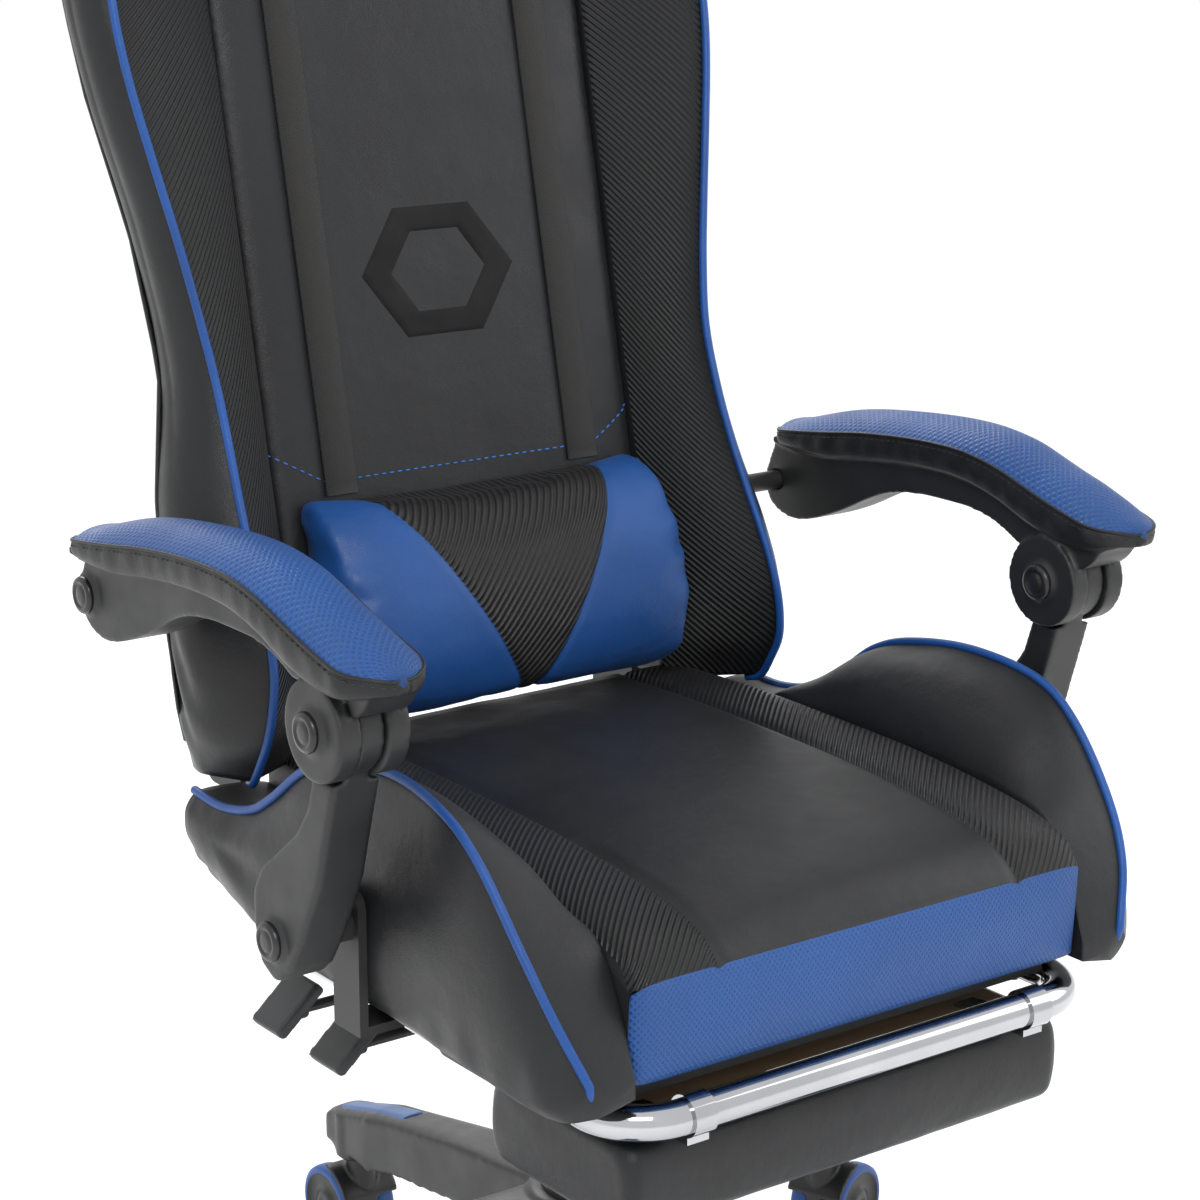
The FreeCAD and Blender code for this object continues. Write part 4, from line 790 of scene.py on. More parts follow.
def bolster_cover(name, side):
    inner = box_mm("bolster_left")[0][0]
    rings = []
    for z, half, crest_x, crest_y, rear in BOLSTER_KEYS:
        face = panel_y(z)
        rings.append([(inner, face + 29, z), (inner, face - 3, z), (crest_x, crest_y, z),
                      (half, (crest_y + rear) / 2 + 6, z), (half - 5, rear, z)])
    rings = smooth_keys(rings, 8)
    reach = np.linalg.norm(rings[:, 2] - rings[:, 1], axis=1)
    end_ease = ease(rings[:, 0, 2], 487, 520) * (1 - ease(rings[:, 0, 2], 1050, 1080))
    spans = [(6, 0), (24, (2.0 + 0.05 * reach) * end_ease), (16, 4.0 * end_ease + 1), (12, 2.0), (14, 0)]
    obj = tube_loft(name, rings, spans, (black_leather, ribbed_leather, side_leather), (0, 1, 2, 2, 0), 2.0)
    points = coordinates(obj)
    outer = ease(points[:, 0], 206, 226) * ease(points[:, 1] - panel_y(points[:, 2]), -60, 10)
    hip = np.exp(-((points[:, 2] - 545) / 42) ** 2)
    folds = np.sin((points[:, 2] - 0.7 * points[:, 1]) / 6.5 + 2 * np.sin(points[:, 1] / 14))
    points[:, 0] += outer * (1.5 * hip * folds + 1.2 * rumple(points, 55, 8.0 + side))
    set_side(obj, points, side)
    return obj, rings[:, 2] * (side, 1, 1)


HEAD_KEYS = ((1081, 204), (1108, 178), (1140, 165), (1195, 157), (1222, 148), (1236, 128))
HEAD_CROWN = 10


def head_edge(side):
    """Front edge of the head panel from the shoulder up to the middle of its top."""
    rows = [(side * half, panel_y(z) - HEAD_CROWN + 12, z) for z, half in HEAD_KEYS]
    top = HEAD_KEYS[-1][0]
    rows += [(side * x, panel_y(top) - HEAD_CROWN + 8, top + 1) for x in (80, 30, 0)]
    return smooth_keys(rows, 6)


for label, side in SIDES:
    cover, crest = bolster_cover("bolster_cover_" + label, side)
    finished(cover, "back", "ribbed_leather", "bolster_" + label, fill=0.75)
    seam = crest + (0.6 * side, -1.6, 0)
    start = seam[0] + (-4 * side, 12, -4)
    edge = head_edge(side)[3:]
    line = piping("back_piping_" + label, [smooth_keys(np.vstack([[start], seam[::4], edge[::3]]), 5)])
    finished(line, "back", "blue_leather")

# %% [markdown]
# ## Back panel with two openings
# The middle panel and the head section are flat-cut leather over foam, with a slot at each
# shoulder for the pillow straps. A constrained triangulation fills the outline round the slots,
# then each point moves forwards by how far it is inside the edge, which crowns the foam.

# %% Plates with openings
HARNESS_X, HARNESS_Z, HARNESS_HALF, HARNESS_ROUND = 100.0, 1042.0, (36.0, 21.0), 16.0


def rounded_slot(x, z, grow=0.0):
    hx, hz, r = HARNESS_HALF[0] + grow, HARNESS_HALF[1] + grow, HARNESS_ROUND + grow
    ring = []
    for k, (sx, sz) in enumerate(((1, 1), (-1, 1), (-1, -1), (1, -1))):
        for step in range(7):
            a = math.pi / 2 * (k + step / 6)
            ring.append((x + sx * (hx - r) + r * math.cos(a), z + sz * (hz - r) + r * math.sin(a)))
    return ring


def edge_distance(points, rings):
    best = np.full(len(points), 1e9)
    for ring in rings:
        ring = np.asarray(ring)
        for a, b in zip(ring, np.roll(ring, -1, axis=0)):
            d = b - a
            t = np.clip(((points - a) @ d) / max(d @ d, 1e-9), 0, 1)
            best = np.minimum(best, np.linalg.norm(points - (a + t[:, None] * d), axis=1))
    return best


def plate(name, outline, holes, step, front_of, back_of, slots, slot_of):
    """Closed plate over an outline in x and z; the two functions give its front and back y."""
    rings = [np.asarray(outline, float)] + [np.asarray(h, float) for h in holes]

    def denser(ring):
        rows = []
        for a, b in zip(ring, np.roll(ring, -1, axis=0)):
            parts = max(1, round(float(np.linalg.norm(b - a)) / step))
            rows += [a + (b - a) * i / parts for i in range(parts)]
        return np.array(rows)

    rings = [denser(r) for r in rings]
    low, high = rings[0].min(0), rings[0].max(0)
    levels = np.arange(low[1], high[1], step * 0.87)
    grid = np.array([(x + (j % 2) * step / 2, z) for j, z in enumerate(levels)
                     for x in np.arange(low[0], high[0], step)])
    grid = grid[edge_distance(grid, rings) > step * 0.6]
    flat = np.vstack(rings + [grid])
    edges, start = [], 0
    for ring in rings:
        edges += [(start + i, start + (i + 1) % len(ring)) for i in range(len(ring))]
        start += len(ring)
    result = geometry.delaunay_2d_cdt([Vector(p) for p in flat], edges, [], 0, 1e-4)
    flat = np.array([tuple(v) for v in result[0]])

    def inside(ring, p):
        x, z = ring[:, 0], ring[:, 1]
        x2, z2 = np.roll(x, -1), np.roll(z, -1)
        cross = (z > p[1]) != (z2 > p[1])
        at = (x2 - x) * (p[1] - z) / np.where(z2 == z, 1e-9, z2 - z) + x
        return bool(np.sum(cross & (p[0] < at)) % 2)

    faces = []
    for face in result[2]:
        middle = flat[list(face)].mean(axis=0)
        if inside(rings[0], middle) and not any(inside(h, middle) for h in rings[1:]):
            faces.append(tuple(face))
    depth = edge_distance(flat, rings)
    front = np.column_stack([flat[:, 0], front_of(flat, depth), flat[:, 1]])
    back = np.column_stack([flat[:, 0], back_of(flat, depth), flat[:, 1]])
    count = len(flat)
    borders = {}
    for face in faces:
        for a, b in zip(face, face[1:] + face[:1]):
            borders[(a, b)] = borders.get((a, b), 0) + 1
    rim = [(a, b) for a, b in borders if (b, a) not in borders]
    all_faces = list(faces) + [tuple(v + count for v in reversed(f)) for f in faces]
    all_faces += [(b, a, a + count, b + count) for a, b in rim]
    kinds = [slot_of(flat[list(f)].mean(axis=0)) for f in faces]
    kinds += [0] * (len(all_faces) - len(kinds))
    both = np.vstack([flat, flat])
    return new_object(name, np.vstack([front, back]), all_faces, slots, kinds, both)


def head_lift(z):
    return HEAD_CROWN * ease(z, 1050, 1088)


def back_outline():
    half = box_mm("back_cushion")[1][0] - 0.2
    low = box_mm("back_cushion")[0][2]
    right = [(half, low), (half, 1079)] + [(w, z) for z, w in HEAD_KEYS]
    return right + [(-x, z) for x, z in reversed(right)]


def back_front(flat, depth):
    z = flat[:, 1]
    crown = 5.5 * (1 - np.exp(-depth / 16)) - 3.5 * np.exp(-depth / 2.6)
    for line in HEAD_SEAMS:
        crown -= 2.4 * np.exp(-(np.abs(z - line(flat[:, 0])) / 3.0) ** 2) * ease(depth, 0, 6)
    bead = 0.5 * rumple(np.column_stack([flat[:, 0], z * 0, z]), 60, 4.0)
    return panel_y(z) - head_lift(z) - crown - bead


def back_rear(flat, depth):
    return panel_y(flat[:, 1]) + 29


def lower_seam(x):
    return 661 + np.maximum(0, np.abs(x) - 111) * 0.56


def head_seam(x):
    return 1076 + 0.12 * np.abs(x)


HEAD_SEAMS = (head_seam,)
BADGE = [(62 * math.cos(a), 792 + 50 * math.sin(a)) for a in np.radians(np.arange(0, 360, 60))]
BADGE_CORE = [(x * 0.62, 792 + (z - 792) * 0.62) for x, z in BADGE]


flock = nylon("black flock", (0.004, 0.004, 0.0045), 0.92, 0.0005, 0.0002)


def back_slot(middle):
    return 1 if middle[1] > 1092 and abs(middle[0]) > 92 else 0


back_panel = plate("back_panel_cover", back_outline(),
                   [rounded_slot(s * HARNESS_X, HARNESS_Z) for s in (-1, 1)], 6.0, back_front, back_rear,
                   (black_leather, ribbed_leather), back_slot)
finished(back_panel, "back", "black_leather", "back_cushion", "head_cushion", fill=0.6)
print("back panel:", len(back_panel.data.polygons), "faces")


def badge_front(flat, depth):
    return back_front(flat, depth * 0 + 60) - 1.3 * ease(depth, -1, 3)


badge = plate("back_badge", BADGE, [BADGE_CORE], 4.0, badge_front,
              lambda flat, depth: badge_front(flat, depth) + 3, (flock,), lambda middle: 0)
finished(badge, "back", "black_leather")

xs = np.linspace(-148, 148, 60)
dashes = on_surface(back_panel, [(x, 0, float(lower_seam(x))) for x in xs], (0, 1, 0), 0.3)
seam_thread = stitches("back_panel_stitches", [dashes], thread_blue, 0.0064, 0.0021, 0.0006)
finished(seam_thread, "back", "blue_leather")
xs = np.linspace(-172, 172, 70)
dashes = on_surface(back_panel, [(x, 0, float(head_seam(x)) + 6) for x in xs], (0, 1, 0), 0.3)
head_thread = stitches("head_panel_stitches", [dashes], thread_blue, 0.0064, 0.0021, 0.0006)
finished(head_thread, "back", "blue_leather")

# %% [markdown]
# ## Rear cover
# The back of the chair is one leather cover pulled over the frame. It is a plate as well: flat
# behind the frame, with slanting flanks down to the bolsters, two openings and two vertical seams.

# %% Rear cover
COVER_BACK, COVER_TURN, COVER_SKIN = 62.0, 34.0, 3.6


def half_width_at(z):
    zs = [k[0] for k in BOLSTER_KEYS] + [k[0] for k in HEAD_KEYS]
    ws = [k[1] for k in BOLSTER_KEYS] + [k[1] for k in HEAD_KEYS]
    return np.interp(z, zs, ws)


def rear_edge_at(z):
    zs = [k[0] for k in BOLSTER_KEYS] + [1108, 1140, 1195, 1236]
    rears = [k[4] for k in BOLSTER_KEYS] + [panel_y(v) + 30 for v in (1108, 1140, 1195, 1236)]
    return np.interp(z, zs, rears)


def cover_rear(flat, depth):
    x, z = np.abs(flat[:, 0]), flat[:, 1]
    flank = half_width_at(z) - 2
    share = ease(x, flank - COVER_TURN - 14, flank + 6)
    y = (panel_y(z) + COVER_BACK) * (1 - share) + (rear_edge_at(z) + 1) * share
    y -= 2.2 * np.exp(-(np.abs(x - 0.55 * flank) / 3.0) ** 2) * ease(depth, 4, 20)
    y += 1.6 * rumple(np.column_stack([flat[:, 0], z * 0, z]), 75, 6.0) * ease(depth, 2, 25)
    return y - 3.0 * np.exp(-depth / 4)


def cover_front(flat, depth):
    return cover_rear(flat, depth) - COVER_SKIN


def cover_outline():
    low, high = box_mm("back_cover")
    zs = np.concatenate([np.linspace(low[2], 1080, 26), np.linspace(1086, high[2] - 3, 12)])
    right = [(float(half_width_at(z)) - 2, float(z)) for z in zs]
    right[-1] = (126.0, right[-1][1])
    return right + [(-x, z) for x, z in reversed(right)]


rear_cover = plate("rear_cover", cover_outline(), [rounded_slot(s * HARNESS_X, HARNESS_Z) for s in (-1, 1)],
                   8.0, cover_front, cover_rear, (side_leather,), lambda middle: 0)
finished(rear_cover, "back", "black_leather", "back_cover", fill=0.3)

# %% [markdown]
# ## Pillows
# The lumbar pillow is a half barrel: flat against the back and round in front. The head pillow is
# a small cushion of the same cut. Both are stuffed by simulation, then the ribbed panel's seam is
# painted on as a distance, so the colour changes exactly there, and pressed in as a groove.

# %% Stuffed pillows


def barrel(name, half, low, high, depth, gap, lean_gap, pinch):
    """Closed half barrel along x, standing in front of the panel."""
    stations = []
    for x in np.concatenate([[-half], np.linspace(-half + 5, half - 5, 33), [half]]):
        end = 1 - pinch * (abs(x) / half) ** 6
        ring = []
        for step in range(25):
            angle = math.pi * step / 24
            z = (low + high) / 2 - math.cos(angle) * (high - low) / 2 * (0.97 + 0.03 * end)
            out = 7 + (depth - 7) * math.sin(angle) ** 0.92 * end
            ring.append((x, panel_y(z) - lean_gap - gap - out, z))
        for step in range(1, 12):
            z = high + (low - high) * step / 12
            ring.append((x, panel_y(z) - lean_gap - gap, z))
        stations.append(ring)
    stations = np.array(stations)
    count, wide, _ = stations.shape
    return new_object(name, stations.reshape(-1, 3), tube_faces(count, wide))


def pressed_seam(obj, distance, depth, width):
    points = coordinates(obj)
    groove = depth * np.exp(-(distance / width) ** 2)
    set_coordinates(obj, points - normals(obj) * groove[:, None])


def kept_in_front(obj, gap, low, high):
    """Keeps a pillow off the panel behind it and inside its height."""
    points = coordinates(obj)
    points[:, 1] = np.minimum(points[:, 1], panel_y(points[:, 2]) - gap)
    points[:, 2] = np.clip(points[:, 2], low, high)
    set_coordinates(obj, points)


def pillow(name, node, depth, lean_gap, voxel, limit, spread, rise):
    low, high = box_mm(node)
    half = high[0]
    obj = barrel(name, half - 2, low[2] + 3, high[2] - 3, depth - 4, 1.0, lean_gap, 0.16)
    stuff(obj, voxel, 4.0, limit)
    refined(obj)
    points = coordinates(obj)
    front = points[:, 1] < panel_y(points[:, 2]) - lean_gap - 8
    near_end = ease(np.abs(points[:, 0]), half - 34, half - 6)
    creases = np.sin(points[:, 2] / 4.6 + 1.4 * np.sin(points[:, 2] / 19)) * near_end
    puff = 0.9 * rumple(points, 46, 1.0) + 0.4 * rumple(points, 18, 2.0) + 0.7 * creases
    set_coordinates(obj, points + normals(obj) * (puff * front)[:, None])
    share = (points[:, 2] + 0.21 * points[:, 1] - rise[0]) / (rise[1] - rise[0])
    distance = (np.abs(points[:, 0]) - spread * share) * 0.86
    paint(obj, "seam", distance)
    pressed_seam(obj, distance, 1.5, 2.4)
    kept_in_front(obj, lean_gap + 0.5, low[2] + 0.2, high[2] - 0.2)
    obj.data.materials.clear()
    obj.data.materials.append(pillow_leather)
    obj.data.shade_smooth()
    return obj


lumbar = pillow("lumbar_cushion", "lumbar_pillow", 78.0, 0.0, 5.0, 7.0, 101.0, (521, 691))
finished(lumbar, "back", "blue_leather", "lumbar_pillow", fill=0.75)
headrest = pillow("head_cushion_pillow", "head_pillow", 60.0, HEAD_CROWN + 3.0, 5.0, 6.0, 88.0,
                  (1140, 1248))
finished(headrest, "back", "blue_leather", "head_pillow", fill=0.7)

# %% [markdown]
# ## Straps
# Two elastic straps run from the top of the lumbar pillow up the panel and out through the
# openings. They are flat bands, made directly as a thin closed strip along their run.

# %% Straps


def band(name, path, width_axis, width, thick):
    """Flat closed strip along a path; the width runs along a fixed axis."""
    path = np.asarray(path, float)
    across = np.array(width_axis, float) * width / 2
    step = np.gradient(path, axis=0)
    step /= np.linalg.norm(step, axis=1, keepdims=True)
    out = np.cross(step, across / np.linalg.norm(across))
    out /= np.linalg.norm(out, axis=1, keepdims=True)
    rows = []
    front = ((0.5, -1), (0.62, -0.5), (0.66, 0), (0.62, 0.5), (0.5, 1))
    for offset, share in front + ((-0.5, 1), (-0.5, 0), (-0.5, -1)):
        rows.append(path + across * share + out * thick * offset)
    grid = np.stack(rows, axis=1)
    count, wide, _ = grid.shape
    return new_object(name, grid.reshape(-1, 3), tube_faces(count, wide), (webbing,))


lumbar_top = box_mm("lumbar_pillow")[1][2]
slot_low = HARNESS_Z - HARNESS_HALF[1] + 6.5
for label, side in SIDES:
    x = side * HARNESS_X
    rise = [(x, panel_y(z) - 7.4, z) for z in np.linspace(lumbar_top - 6, slot_low - 22, 40)]
    over = [(x, panel_y(slot_low) - 6.0, slot_low - 6), (x, panel_y(slot_low) + 2, slot_low),
            (x, panel_y(slot_low) + 30, slot_low + 1), (x, panel_y(slot_low) + COVER_BACK + 14, slot_low + 1)]
    strap = band("pillow_strap_" + label, smooth_keys(rise[::6] + over, 8), (1, 0, 0), 24, 1.8)
    finished(strap, "back", "webbing", *(("pillow_straps",) if side > 0 else ()))
head_low, head_high = box_mm("head_pillow")
strap_z = (head_low[2] + head_high[2]) / 2
strap_half = float(half_width_at(strap_z)) + 3
front_y, rear_y = panel_y(strap_z) - HEAD_CROWN - 7, panel_y(strap_z) + COVER_BACK + 4
run = [(-60, front_y, strap_z), (-strap_half + 12, front_y + 1, strap_z), (-strap_half, front_y + 16, strap_z),
       (-strap_half, rear_y - 30, strap_z), (-strap_half + 40, rear_y - 4, strap_z), (-60, rear_y, strap_z),
       (60, rear_y, strap_z), (strap_half - 40, rear_y - 4, strap_z), (strap_half, rear_y - 30, strap_z),
       (strap_half, front_y + 16, strap_z), (strap_half - 12, front_y + 1, strap_z), (60, front_y, strap_z)]
head_strap = band("head_pillow_strap", smooth_keys(run, 8), (0, 0, 1), 24, 1.6)
finished(head_strap, "back", "webbing")

# %% [markdown]
# ## Armrest pads
# A pad is a long cap of soft foam: blue leather on top, black leather round the side, with a
# stitched seam between them. Its rings follow the arm from the back end to the round front tip.

# %% Armrest pads
PAD_SEAT = ((132, 651), (75, 650), (30, 656), (-12, 660), (-49, 661), (-78, 659), (-108, 652),
            (-135, 642), (-159, 636), (-189, 633), (-212, 637))
PAD_CROWN = ((122, 662), (66, 677), (8, 685), (-51, 689), (-91, 687), (-131, 679), (-171, 665),
             (-196, 655), (-219, 648))


def smooth_line(table):
    """Height along y through a table, as a smooth curve to look values up in."""
    fine = smooth_keys(sorted(table), 10)
    return lambda y: float(np.interp(y, fine[:, 0], fine[:, 1]))


pad_floor, pad_crown = smooth_line(PAD_SEAT), smooth_line(PAD_CROWN)
PAD_SKIRT = 4.6           # how far the cover reaches down over the arm's flange
PAD_TIP = 34.0            # length of the round front end


def arm_pad(name, side):
    low, high = box_mm("arm_pad_left")
    middle, half = (low[0] + high[0]) / 2, (high[0] - low[0]) / 2
    rings, seams = [], ([], [])
    ends = (low[1] + 0.6, high[1] - 0.6)
    ys = np.concatenate([ends[1] - 12 * (1 - np.cos(np.linspace(0, math.pi / 2, 8)))[:-1],
                         np.linspace(ends[1] - 12, ends[0] + PAD_TIP, 54),
                         ends[0] + 32 * (1 - np.sin(np.linspace(0.05, math.pi / 2, 14)))])
    ys = np.sort(ys)[::-1]
    for y in ys:
        front = np.clip((y - ends[0]) / PAD_TIP, 0, 1)
        rear = np.clip((ends[1] - y) / 12, 0, 1)
        plan = max(0.12, math.sqrt(1 - (1 - front) ** 2)) * max(0.72, math.sqrt(1 - (1 - rear) ** 2) ** 0.5)
        w = half * plan
        floor, crown = pad_floor(min(max(y, -212), 132)), pad_crown(min(max(y, -219), 122))
        crown = floor + max(9.0, crown - floor) * (0.55 + 0.45 * plan)
        seam = floor + (crown - floor) * 0.5
        skirt = floor - PAD_SKIRT
        rings.append([(middle - w, y, skirt), (middle - w - 0.6, y, seam), (middle + w + 0.6, y, seam),
                      (middle + w, y, skirt)])
        seams[0].append((middle - w - 0.6, y, seam))
        seams[1].append((middle + w + 0.6, y, seam))
    rings = np.array(rings)
    thick = rings[:, 1, 2] - rings[:, 0, 2] - PAD_SKIRT
    top_swell = thick + 0.5
    obj = tube_loft(name, rings, [(10, 1.6), (26, top_swell), (10, 1.6), (10, 0)],
                    (black_leather, blue_weave), (0, 1, 0, 0), 2.0)
    points = coordinates(obj)
    floors = np.array([pad_floor(min(max(y, -212), 132)) for y in points[:, 1]])
    low_side = np.exp(-((points[:, 2] - floors - 6) / 8) ** 2)
    flank = ease(np.abs(points[:, 0] - middle), half * 0.7, half) * low_side
    pucker = np.sin(points[:, 1] / 3.4 + 1.5 * np.sin(points[:, 1] / 17)) * flank
    points[:, 0] += np.sign(points[:, 0] - middle) * (0.55 * pucker + 0.4 * flank * rumple(points, 16, 5.0))
    points[:, 2] = np.maximum(points[:, 2], floors - PAD_SKIRT)
    set_side(obj, points, side)
    rim = np.vstack([seams[0], seams[1][::-1]]) * (side, 1, 1)
    return obj, rim


for label, side in SIDES:
    cover, rim = arm_pad("arm_pad_cover_" + label, side)
    finished(cover, "armrest_" + label, "blue_weave", "arm_pad_" + label, fill=0.7)
    centre = rim.mean(axis=0)
    outward = rim - centre
    outward[:, 1:] = 0
    outward /= np.maximum(np.linalg.norm(outward, axis=1, keepdims=True), 1e-6)
    welt = follow("arm_pad_welt_" + label, [rim + outward * 0.4], piping_tree, black_leather, Radius=0.0011)
    finished(welt, "armrest_" + label, "black_leather")
    row = stitches("arm_pad_stitches_" + label, [rim + outward * 1.1 - (0, 0, 3.4)], thread_black, 0.0058,
                   0.0019, 0.0005)
    finished(row, "armrest_" + label, "black_leather")

# %% [markdown]
# ## Moulded parts
# Injection-moulded nylon has no sharp edges. A copy of the CAD part is remeshed into even cells
# and relaxed a little, which rounds every edge by about the same small radius, as a mould does.

# %% Rounded mouldings


def moulded(node, name, voxel, rounds, material, body, slot):
    source = frame["nodes"][node]
    obj = bpy.data.objects.new(name, source.data.copy())
    bpy.context.scene.collection.objects.link(obj)
    bm = bmesh.new()
    bm.from_mesh(obj.data)
    bmesh.ops.remove_doubles(bm, verts=bm.verts, dist=1e-5)
    bm.to_mesh(obj.data)
    bm.free()
    remesh = obj.modifiers.new("even cells", "REMESH")
    remesh.mode = "VOXEL"
    remesh.voxel_size = voxel * MM
    remesh.adaptivity = 0.0
    relax = obj.modifiers.new("rounded", "SMOOTH")
    relax.factor = 0.5
    relax.iterations = rounds
    baked(obj)
    obj.data.materials.clear()
    obj.data.materials.append(material)
    obj.data.shade_smooth()
    finished(obj, body, slot, node)
    return obj


def under_tip(obj, side):
    """Draws the flange's front corners in under the round front end of the pad."""
    low, high = box_mm("arm_pad_left")
    middle, half = (low[0] + high[0]) / 2, (high[0] - low[0]) / 2
    points = coordinates(obj)
    floors = np.array([pad_floor(min(max(y, -212), 132)) for y in points[:, 1]])
    flange = points[:, 2] > floors - 7
    points[:, 1] = np.where(flange, np.maximum(points[:, 1], low[1] + 4), points[:, 1])
    front = np.clip((points[:, 1] - low[1] - 2) / PAD_TIP, 0, 1)
    room = (half - 1.6) * np.maximum(0.1, np.sqrt(1 - (1 - front) ** 2))
    across = points[:, 0] * side - middle
    across = np.where(flange, np.clip(across, -room, room), across)
    points[:, 0] = (across + middle) * side
    set_coordinates(obj, points)


moulded("star_base", "base_moulding", 2.6, 4, base_nylon, "base", "black_nylon")
for label, side in SIDES:
    moulded("post_" + label, "arm_post_" + label, 1.7, 4, black_nylon, "arm_post_" + label, "black_nylon")
    arm = moulded("arm_frame_" + label, "arm_moulding_" + label, 1.7, 4, black_nylon, "armrest_" + label,
                  "black_nylon")
    under_tip(arm, side)
for name in ("height", "recline"):
    moulded(name + "_paddle", name + "_grip", 1.3, 4, grip_nylon, name + "_control", "black_nylon")
for i in range(LEGS):
    moulded("caster_fork_%d" % i, "caster_hood_%d" % i, 1.3, 3, base_nylon, "caster_%d" % i, "black_nylon")

# %% [markdown]
# ## Pivot caps
# Each pivot of an arm is closed by a round cap with a shallow rim groove. A cap is turned: one
# profile swept round the pivot's axis.

# %% Turned parts


def turned(name, profile, centre, axis, material_of, slots, steps=48):
    """Closed solid swept round an axis along x, then turned to axis; profile is (offset, radius)."""
    profile = list(profile)
    rows = []
    for step in range(steps):
        a = 2 * math.pi * step / steps
        rows.append([(o, r * math.cos(a), r * math.sin(a)) for o, r in profile])
    grid = np.array(rows)
    wide = len(profile)
    faces, kinds = [], []
    for s in range(steps):
        n = (s + 1) % steps
        for u in range(wide - 1):
            faces.append((s * wide + u, s * wide + u + 1, n * wide + u + 1, n * wide + u))
            kinds.append(material_of(u))
    points = grid.reshape(-1, 3)
    direction = Vector(axis).normalized()
    turn = np.array(Vector((1, 0, 0)).rotation_difference(direction).to_matrix())
    points = points @ turn.T + np.array(centre)
    closed_loop = profile[0] == profile[-1]
    if not closed_loop:
        for u, flip in ((0, False), (wide - 1, True)):
            ring = [s * wide + u for s in range(steps)]
            faces.append(tuple(ring if flip else reversed(ring)))
            kinds.append(material_of(min(u, wide - 2)))
    obj = new_object(name, points, faces, slots, kinds)
    bm = bmesh.new()
    bm.from_mesh(obj.data)
    bmesh.ops.remove_doubles(bm, verts=bm.verts, dist=1e-6)
    bmesh.ops.recalc_face_normals(bm, faces=bm.faces)
    bm.to_mesh(obj.data)
    bm.free()
    return obj


def pivot(joint):
    return np.array(next(j["pos_m"] for j in frame["joints"] if j["name"] == joint)) / MM


CAP_PROFILE = ((-1.5, 12.2), (1.2, 12.2), (2.6, 11.4), (3.2, 9.8), (3.3, 8.4), (2.5, 7.6), (2.5, 6.8), (3.2, 6.0),
               (3.5, 3.0), (3.6, 0.4))
for label, side in SIDES:
    level, tilt = pivot("armrest_%s_level" % label), pivot("post_%s_tilt" % label)
    arm, post = "armrest_" + label, "arm_post_" + label
    for name, body, x, y, z, way in (
            ("arm_cap_outer_", arm, 310.2, level[1], level[2], 1),
            ("arm_cap_inner_", arm, 256.8, level[1], level[2], -1),
            ("post_cap_", post, 302.2, tilt[1], tilt[2], 1),
            ("arm_cap_rear_", arm, 303.2, 132.0, 617.0, 1)):
        cap = turned(name + label, CAP_PROFILE, (side * x, y, z), (side * way, 0, 0), lambda u: 0,
                     (cap_nylon,))
        finished(cap, body, "black_nylon")

# %% [markdown]
# ## Casters
# A wheel is a dark nylon hub with a soft blue tread moulded round it. The hub's face is dished,
# with a raised centre, and the tread's outline is round-shouldered so it rolls on its middle.

# %% Wheels
CASTER_WEB, SIDE_GAP = 12.0, 0.4
WHEEL_PROFILE = ((1.0, 4.2), (1.0, 23.5), (0.3, 24.5), (0.2, 29.0), (1.6, 31.6), (5.0, 32.5), (12.0, 32.5),
                 (15.4, 31.6), (16.9, 28.8), (16.6, 26.6), (15.6, 25.8), (14.6, 24.6), (13.6, 19.0), (14.2, 13.0),
                 (16.2, 11.6), (16.7, 9.0), (16.8, 4.2), (1.0, 4.2))
TREAD_FROM, TREAD_TO = 2, 9


def wheel(index, label, side):
    angle = math.radians(index * 360 / LEGS)
    radial = np.array([-math.sin(angle), math.cos(angle), 0])
    axle = np.array([math.cos(angle), math.sin(angle), 0]) * side
    joint = pivot("wheel_%d_%s_roll" % (index, label))
    centre = np.array([joint[0], joint[1], joint[2]])
    centre = radial * float(centre @ radial) + np.array([0, 0, centre[2]])
    start = centre + axle * (CASTER_WEB / 2 + SIDE_GAP)
    obj = turned("caster_wheel_%d_%s" % (index, label), WHEEL_PROFILE, start, axle,
                 lambda u: 1 if TREAD_FROM <= u < TREAD_TO else 0, (base_nylon, blue_tread))
    finished(obj, "roller_%d_%s" % (index, label), "wheel_plastic", "wheel_%d_%s" % (index, label))
    return obj


for i in range(LEGS):
    for label, side in SIDES:
        wheel(i, label, side)

# %% [markdown]
# ## Leg inserts and footrest pad
# Each leg carries a blue insert near its end. The CAD outline is kept, and the piece is rounded
# like the other mouldings. The footrest pad is leather over a board: boxy, soft at its edges,
# with a seam down each front corner.

# %% Inserts and footrest pad
moulded("leg_caps", "leg_inserts", 1.2, 6, blue_plastic, "base", "blue_plastic")


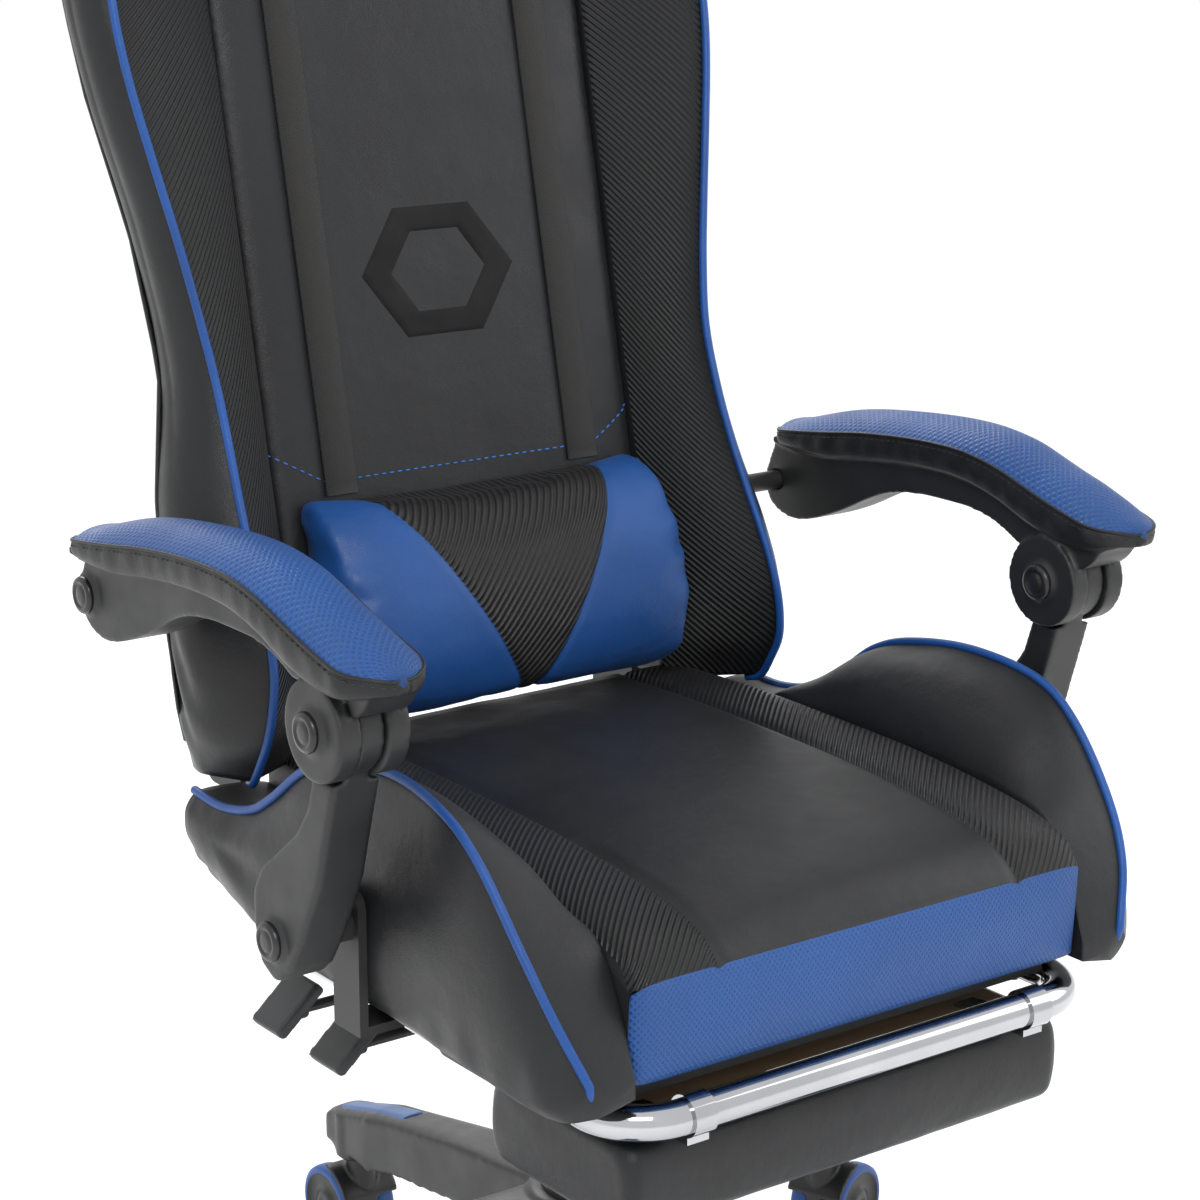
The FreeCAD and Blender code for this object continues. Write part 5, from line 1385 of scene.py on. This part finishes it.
def footrest_cover():
    low, high = box_mm("footrest_pad")
    half, rings = high[0], []
    end = -half + 12 * (1 - np.cos(np.linspace(0.25, math.pi / 2, 7)))
    xs = np.concatenate([end, np.linspace(-half + 24, half - 24, 40), -end[::-1]])
    xs = np.unique(np.round(xs, 3))
    for x in xs:
        inset = max(0.0, 1 - (half - abs(x)) / 12)
        pull = 10 * (1 - math.sqrt(max(0.0, 1 - inset ** 2)))
        y0, y1, z0, z1 = low[1] + pull, high[1] - pull, low[2] + pull, high[2] - pull
        r = 9.0
        rings.append([(x, y0, z1 - r), (x, y0, z0 + r), (x, y0 + r, z0), (x, y1 - r, z0), (x, y1, z0 + r),
                      (x, y1, z1 - r), (x, y1 - r, z1), (x, y0 + r, z1)])
    corner = (5, 1.6)
    spans = [(12, 2.0), corner, (22, 1.5), corner, (10, 1.5), corner, (20, 0), corner]
    obj = tube_loft("footrest_cover", rings, spans, (side_leather,), (0,) * 8, 1.5)
    points = coordinates(obj)
    points += normals(obj) * (0.9 * rumple(points, 60, 4.0) + 0.35 * rumple(points, 22, 7.0))[:, None]
    seam = np.minimum(abs(points[:, 0] - (half - 16)), abs(points[:, 0] + (half - 16)))
    points -= normals(obj) * (1.3 * np.exp(-(seam / 2.2) ** 2))[:, None]
    points[:, 2] = np.minimum(points[:, 2], high[2])
    set_coordinates(obj, points)
    return obj


finished(footrest_cover(), "footrest_panel", "black_leather", "footrest_pad", fill=0.8)

# %% [markdown]
# ## Finishes of the CAD parts
# Steel and plain plastic parts have the right shape already. Each keeps its mesh and gets a
# finish.

# %% Finishes on CAD nodes
KEPT = {"footrest_tube": chrome, "footrest_clamps": chrome, "piston_rod": chrome,
        "mechanism_bolts": zinc, "footrest_board": plywood,
        "harness_bezels": cap_nylon, "tube_bearings": base_nylon, "cover_bottom": base_nylon,
        "cover_middle": base_nylon, "cover_top": base_nylon, "tension_knob": base_nylon}
for node, obj in frame["nodes"].items():
    finish = KEPT.get(node, black_coat)
    if not obj.material_slots:
        obj.data.materials.append(finish)
    for material_slot in obj.material_slots:
        material_slot.material = finish

# %% [markdown]
# ## Studio
# A pale floor that fades into a pale surround, one large soft light from the front left, a
# smaller one from the right and a strip behind for the edges.

# %% Floor, lights and camera


def studio_floor():
    f = Finish("studio floor")
    grit = f.noise(f.place(), 3.0, 2.0)
    base = f.mix(grit, (0.90, 0.90, 0.90, 1), (0.93, 0.93, 0.93, 1))
    material = f.surface(Base_Color=base, Roughness=0.8, Emission_Color=(1, 1, 1, 1), Emission_Strength=0.12)
    size = 9000.0
    points = [(-size, -size, -0.5), (size, -size, -0.5), (size, size, -0.5), (-size, size, -0.5)]
    mesh_points = np.array(points) * MM
    mesh = bpy.data.meshes.new("studio_floor")
    mesh.from_pydata(mesh_points.tolist(), [], [(0, 1, 2, 3)])
    mesh.materials.append(material)
    floor = bpy.data.objects.new("studio_floor", mesh)
    bpy.context.scene.collection.objects.link(floor)


def area_light(name, place, aim, width, height, power):
    data = bpy.data.lights.new(name, "AREA")
    data.shape = "RECTANGLE"
    data.size, data.size_y, data.energy = width, height, power
    light = bpy.data.objects.new(name, data)
    light.location = place
    light.rotation_euler = (Vector(aim) - Vector(place)).to_track_quat("-Z", "Y").to_euler()
    bpy.context.scene.collection.objects.link(light)


studio_floor()
world = bpy.data.worlds.new("studio")
bpy.context.scene.world = world
world.use_nodes = True
world.node_tree.nodes["Background"].inputs["Color"].default_value = (1.0, 1.0, 1.0, 1)
world.node_tree.nodes["Background"].inputs["Strength"].default_value = 1.0
area_light("key", (-1.3, -1.9, 2.6), (0, 0, 0.6), 1.3, 1.0, 42)
area_light("fill", (2.0, -1.2, 1.6), (0, 0, 0.6), 1.4, 1.4, 12)
area_light("rim", (0.6, 2.2, 2.2), (0, 0, 0.8), 1.6, 0.6, 30)

camera_data = bpy.data.cameras.new("camera")
camera_data.lens, camera_data.sensor_width = 90.35, 36.0
camera_data.dof.use_dof = False
camera = bpy.data.objects.new("camera", camera_data)
camera.location = (-1.1316, -1.5531, 1.1062)
look = (Vector((0.018, 0.016, 0.588)) - camera.location).to_track_quat("-Z", "Y")
camera.rotation_mode = "QUATERNION"
camera.rotation_quaternion = look
camera.data.clip_start, camera.data.clip_end = 0.05, 60
bpy.context.scene.collection.objects.link(camera)
bpy.context.scene.camera = camera
bpy.context.scene.view_settings.view_transform = "Standard"
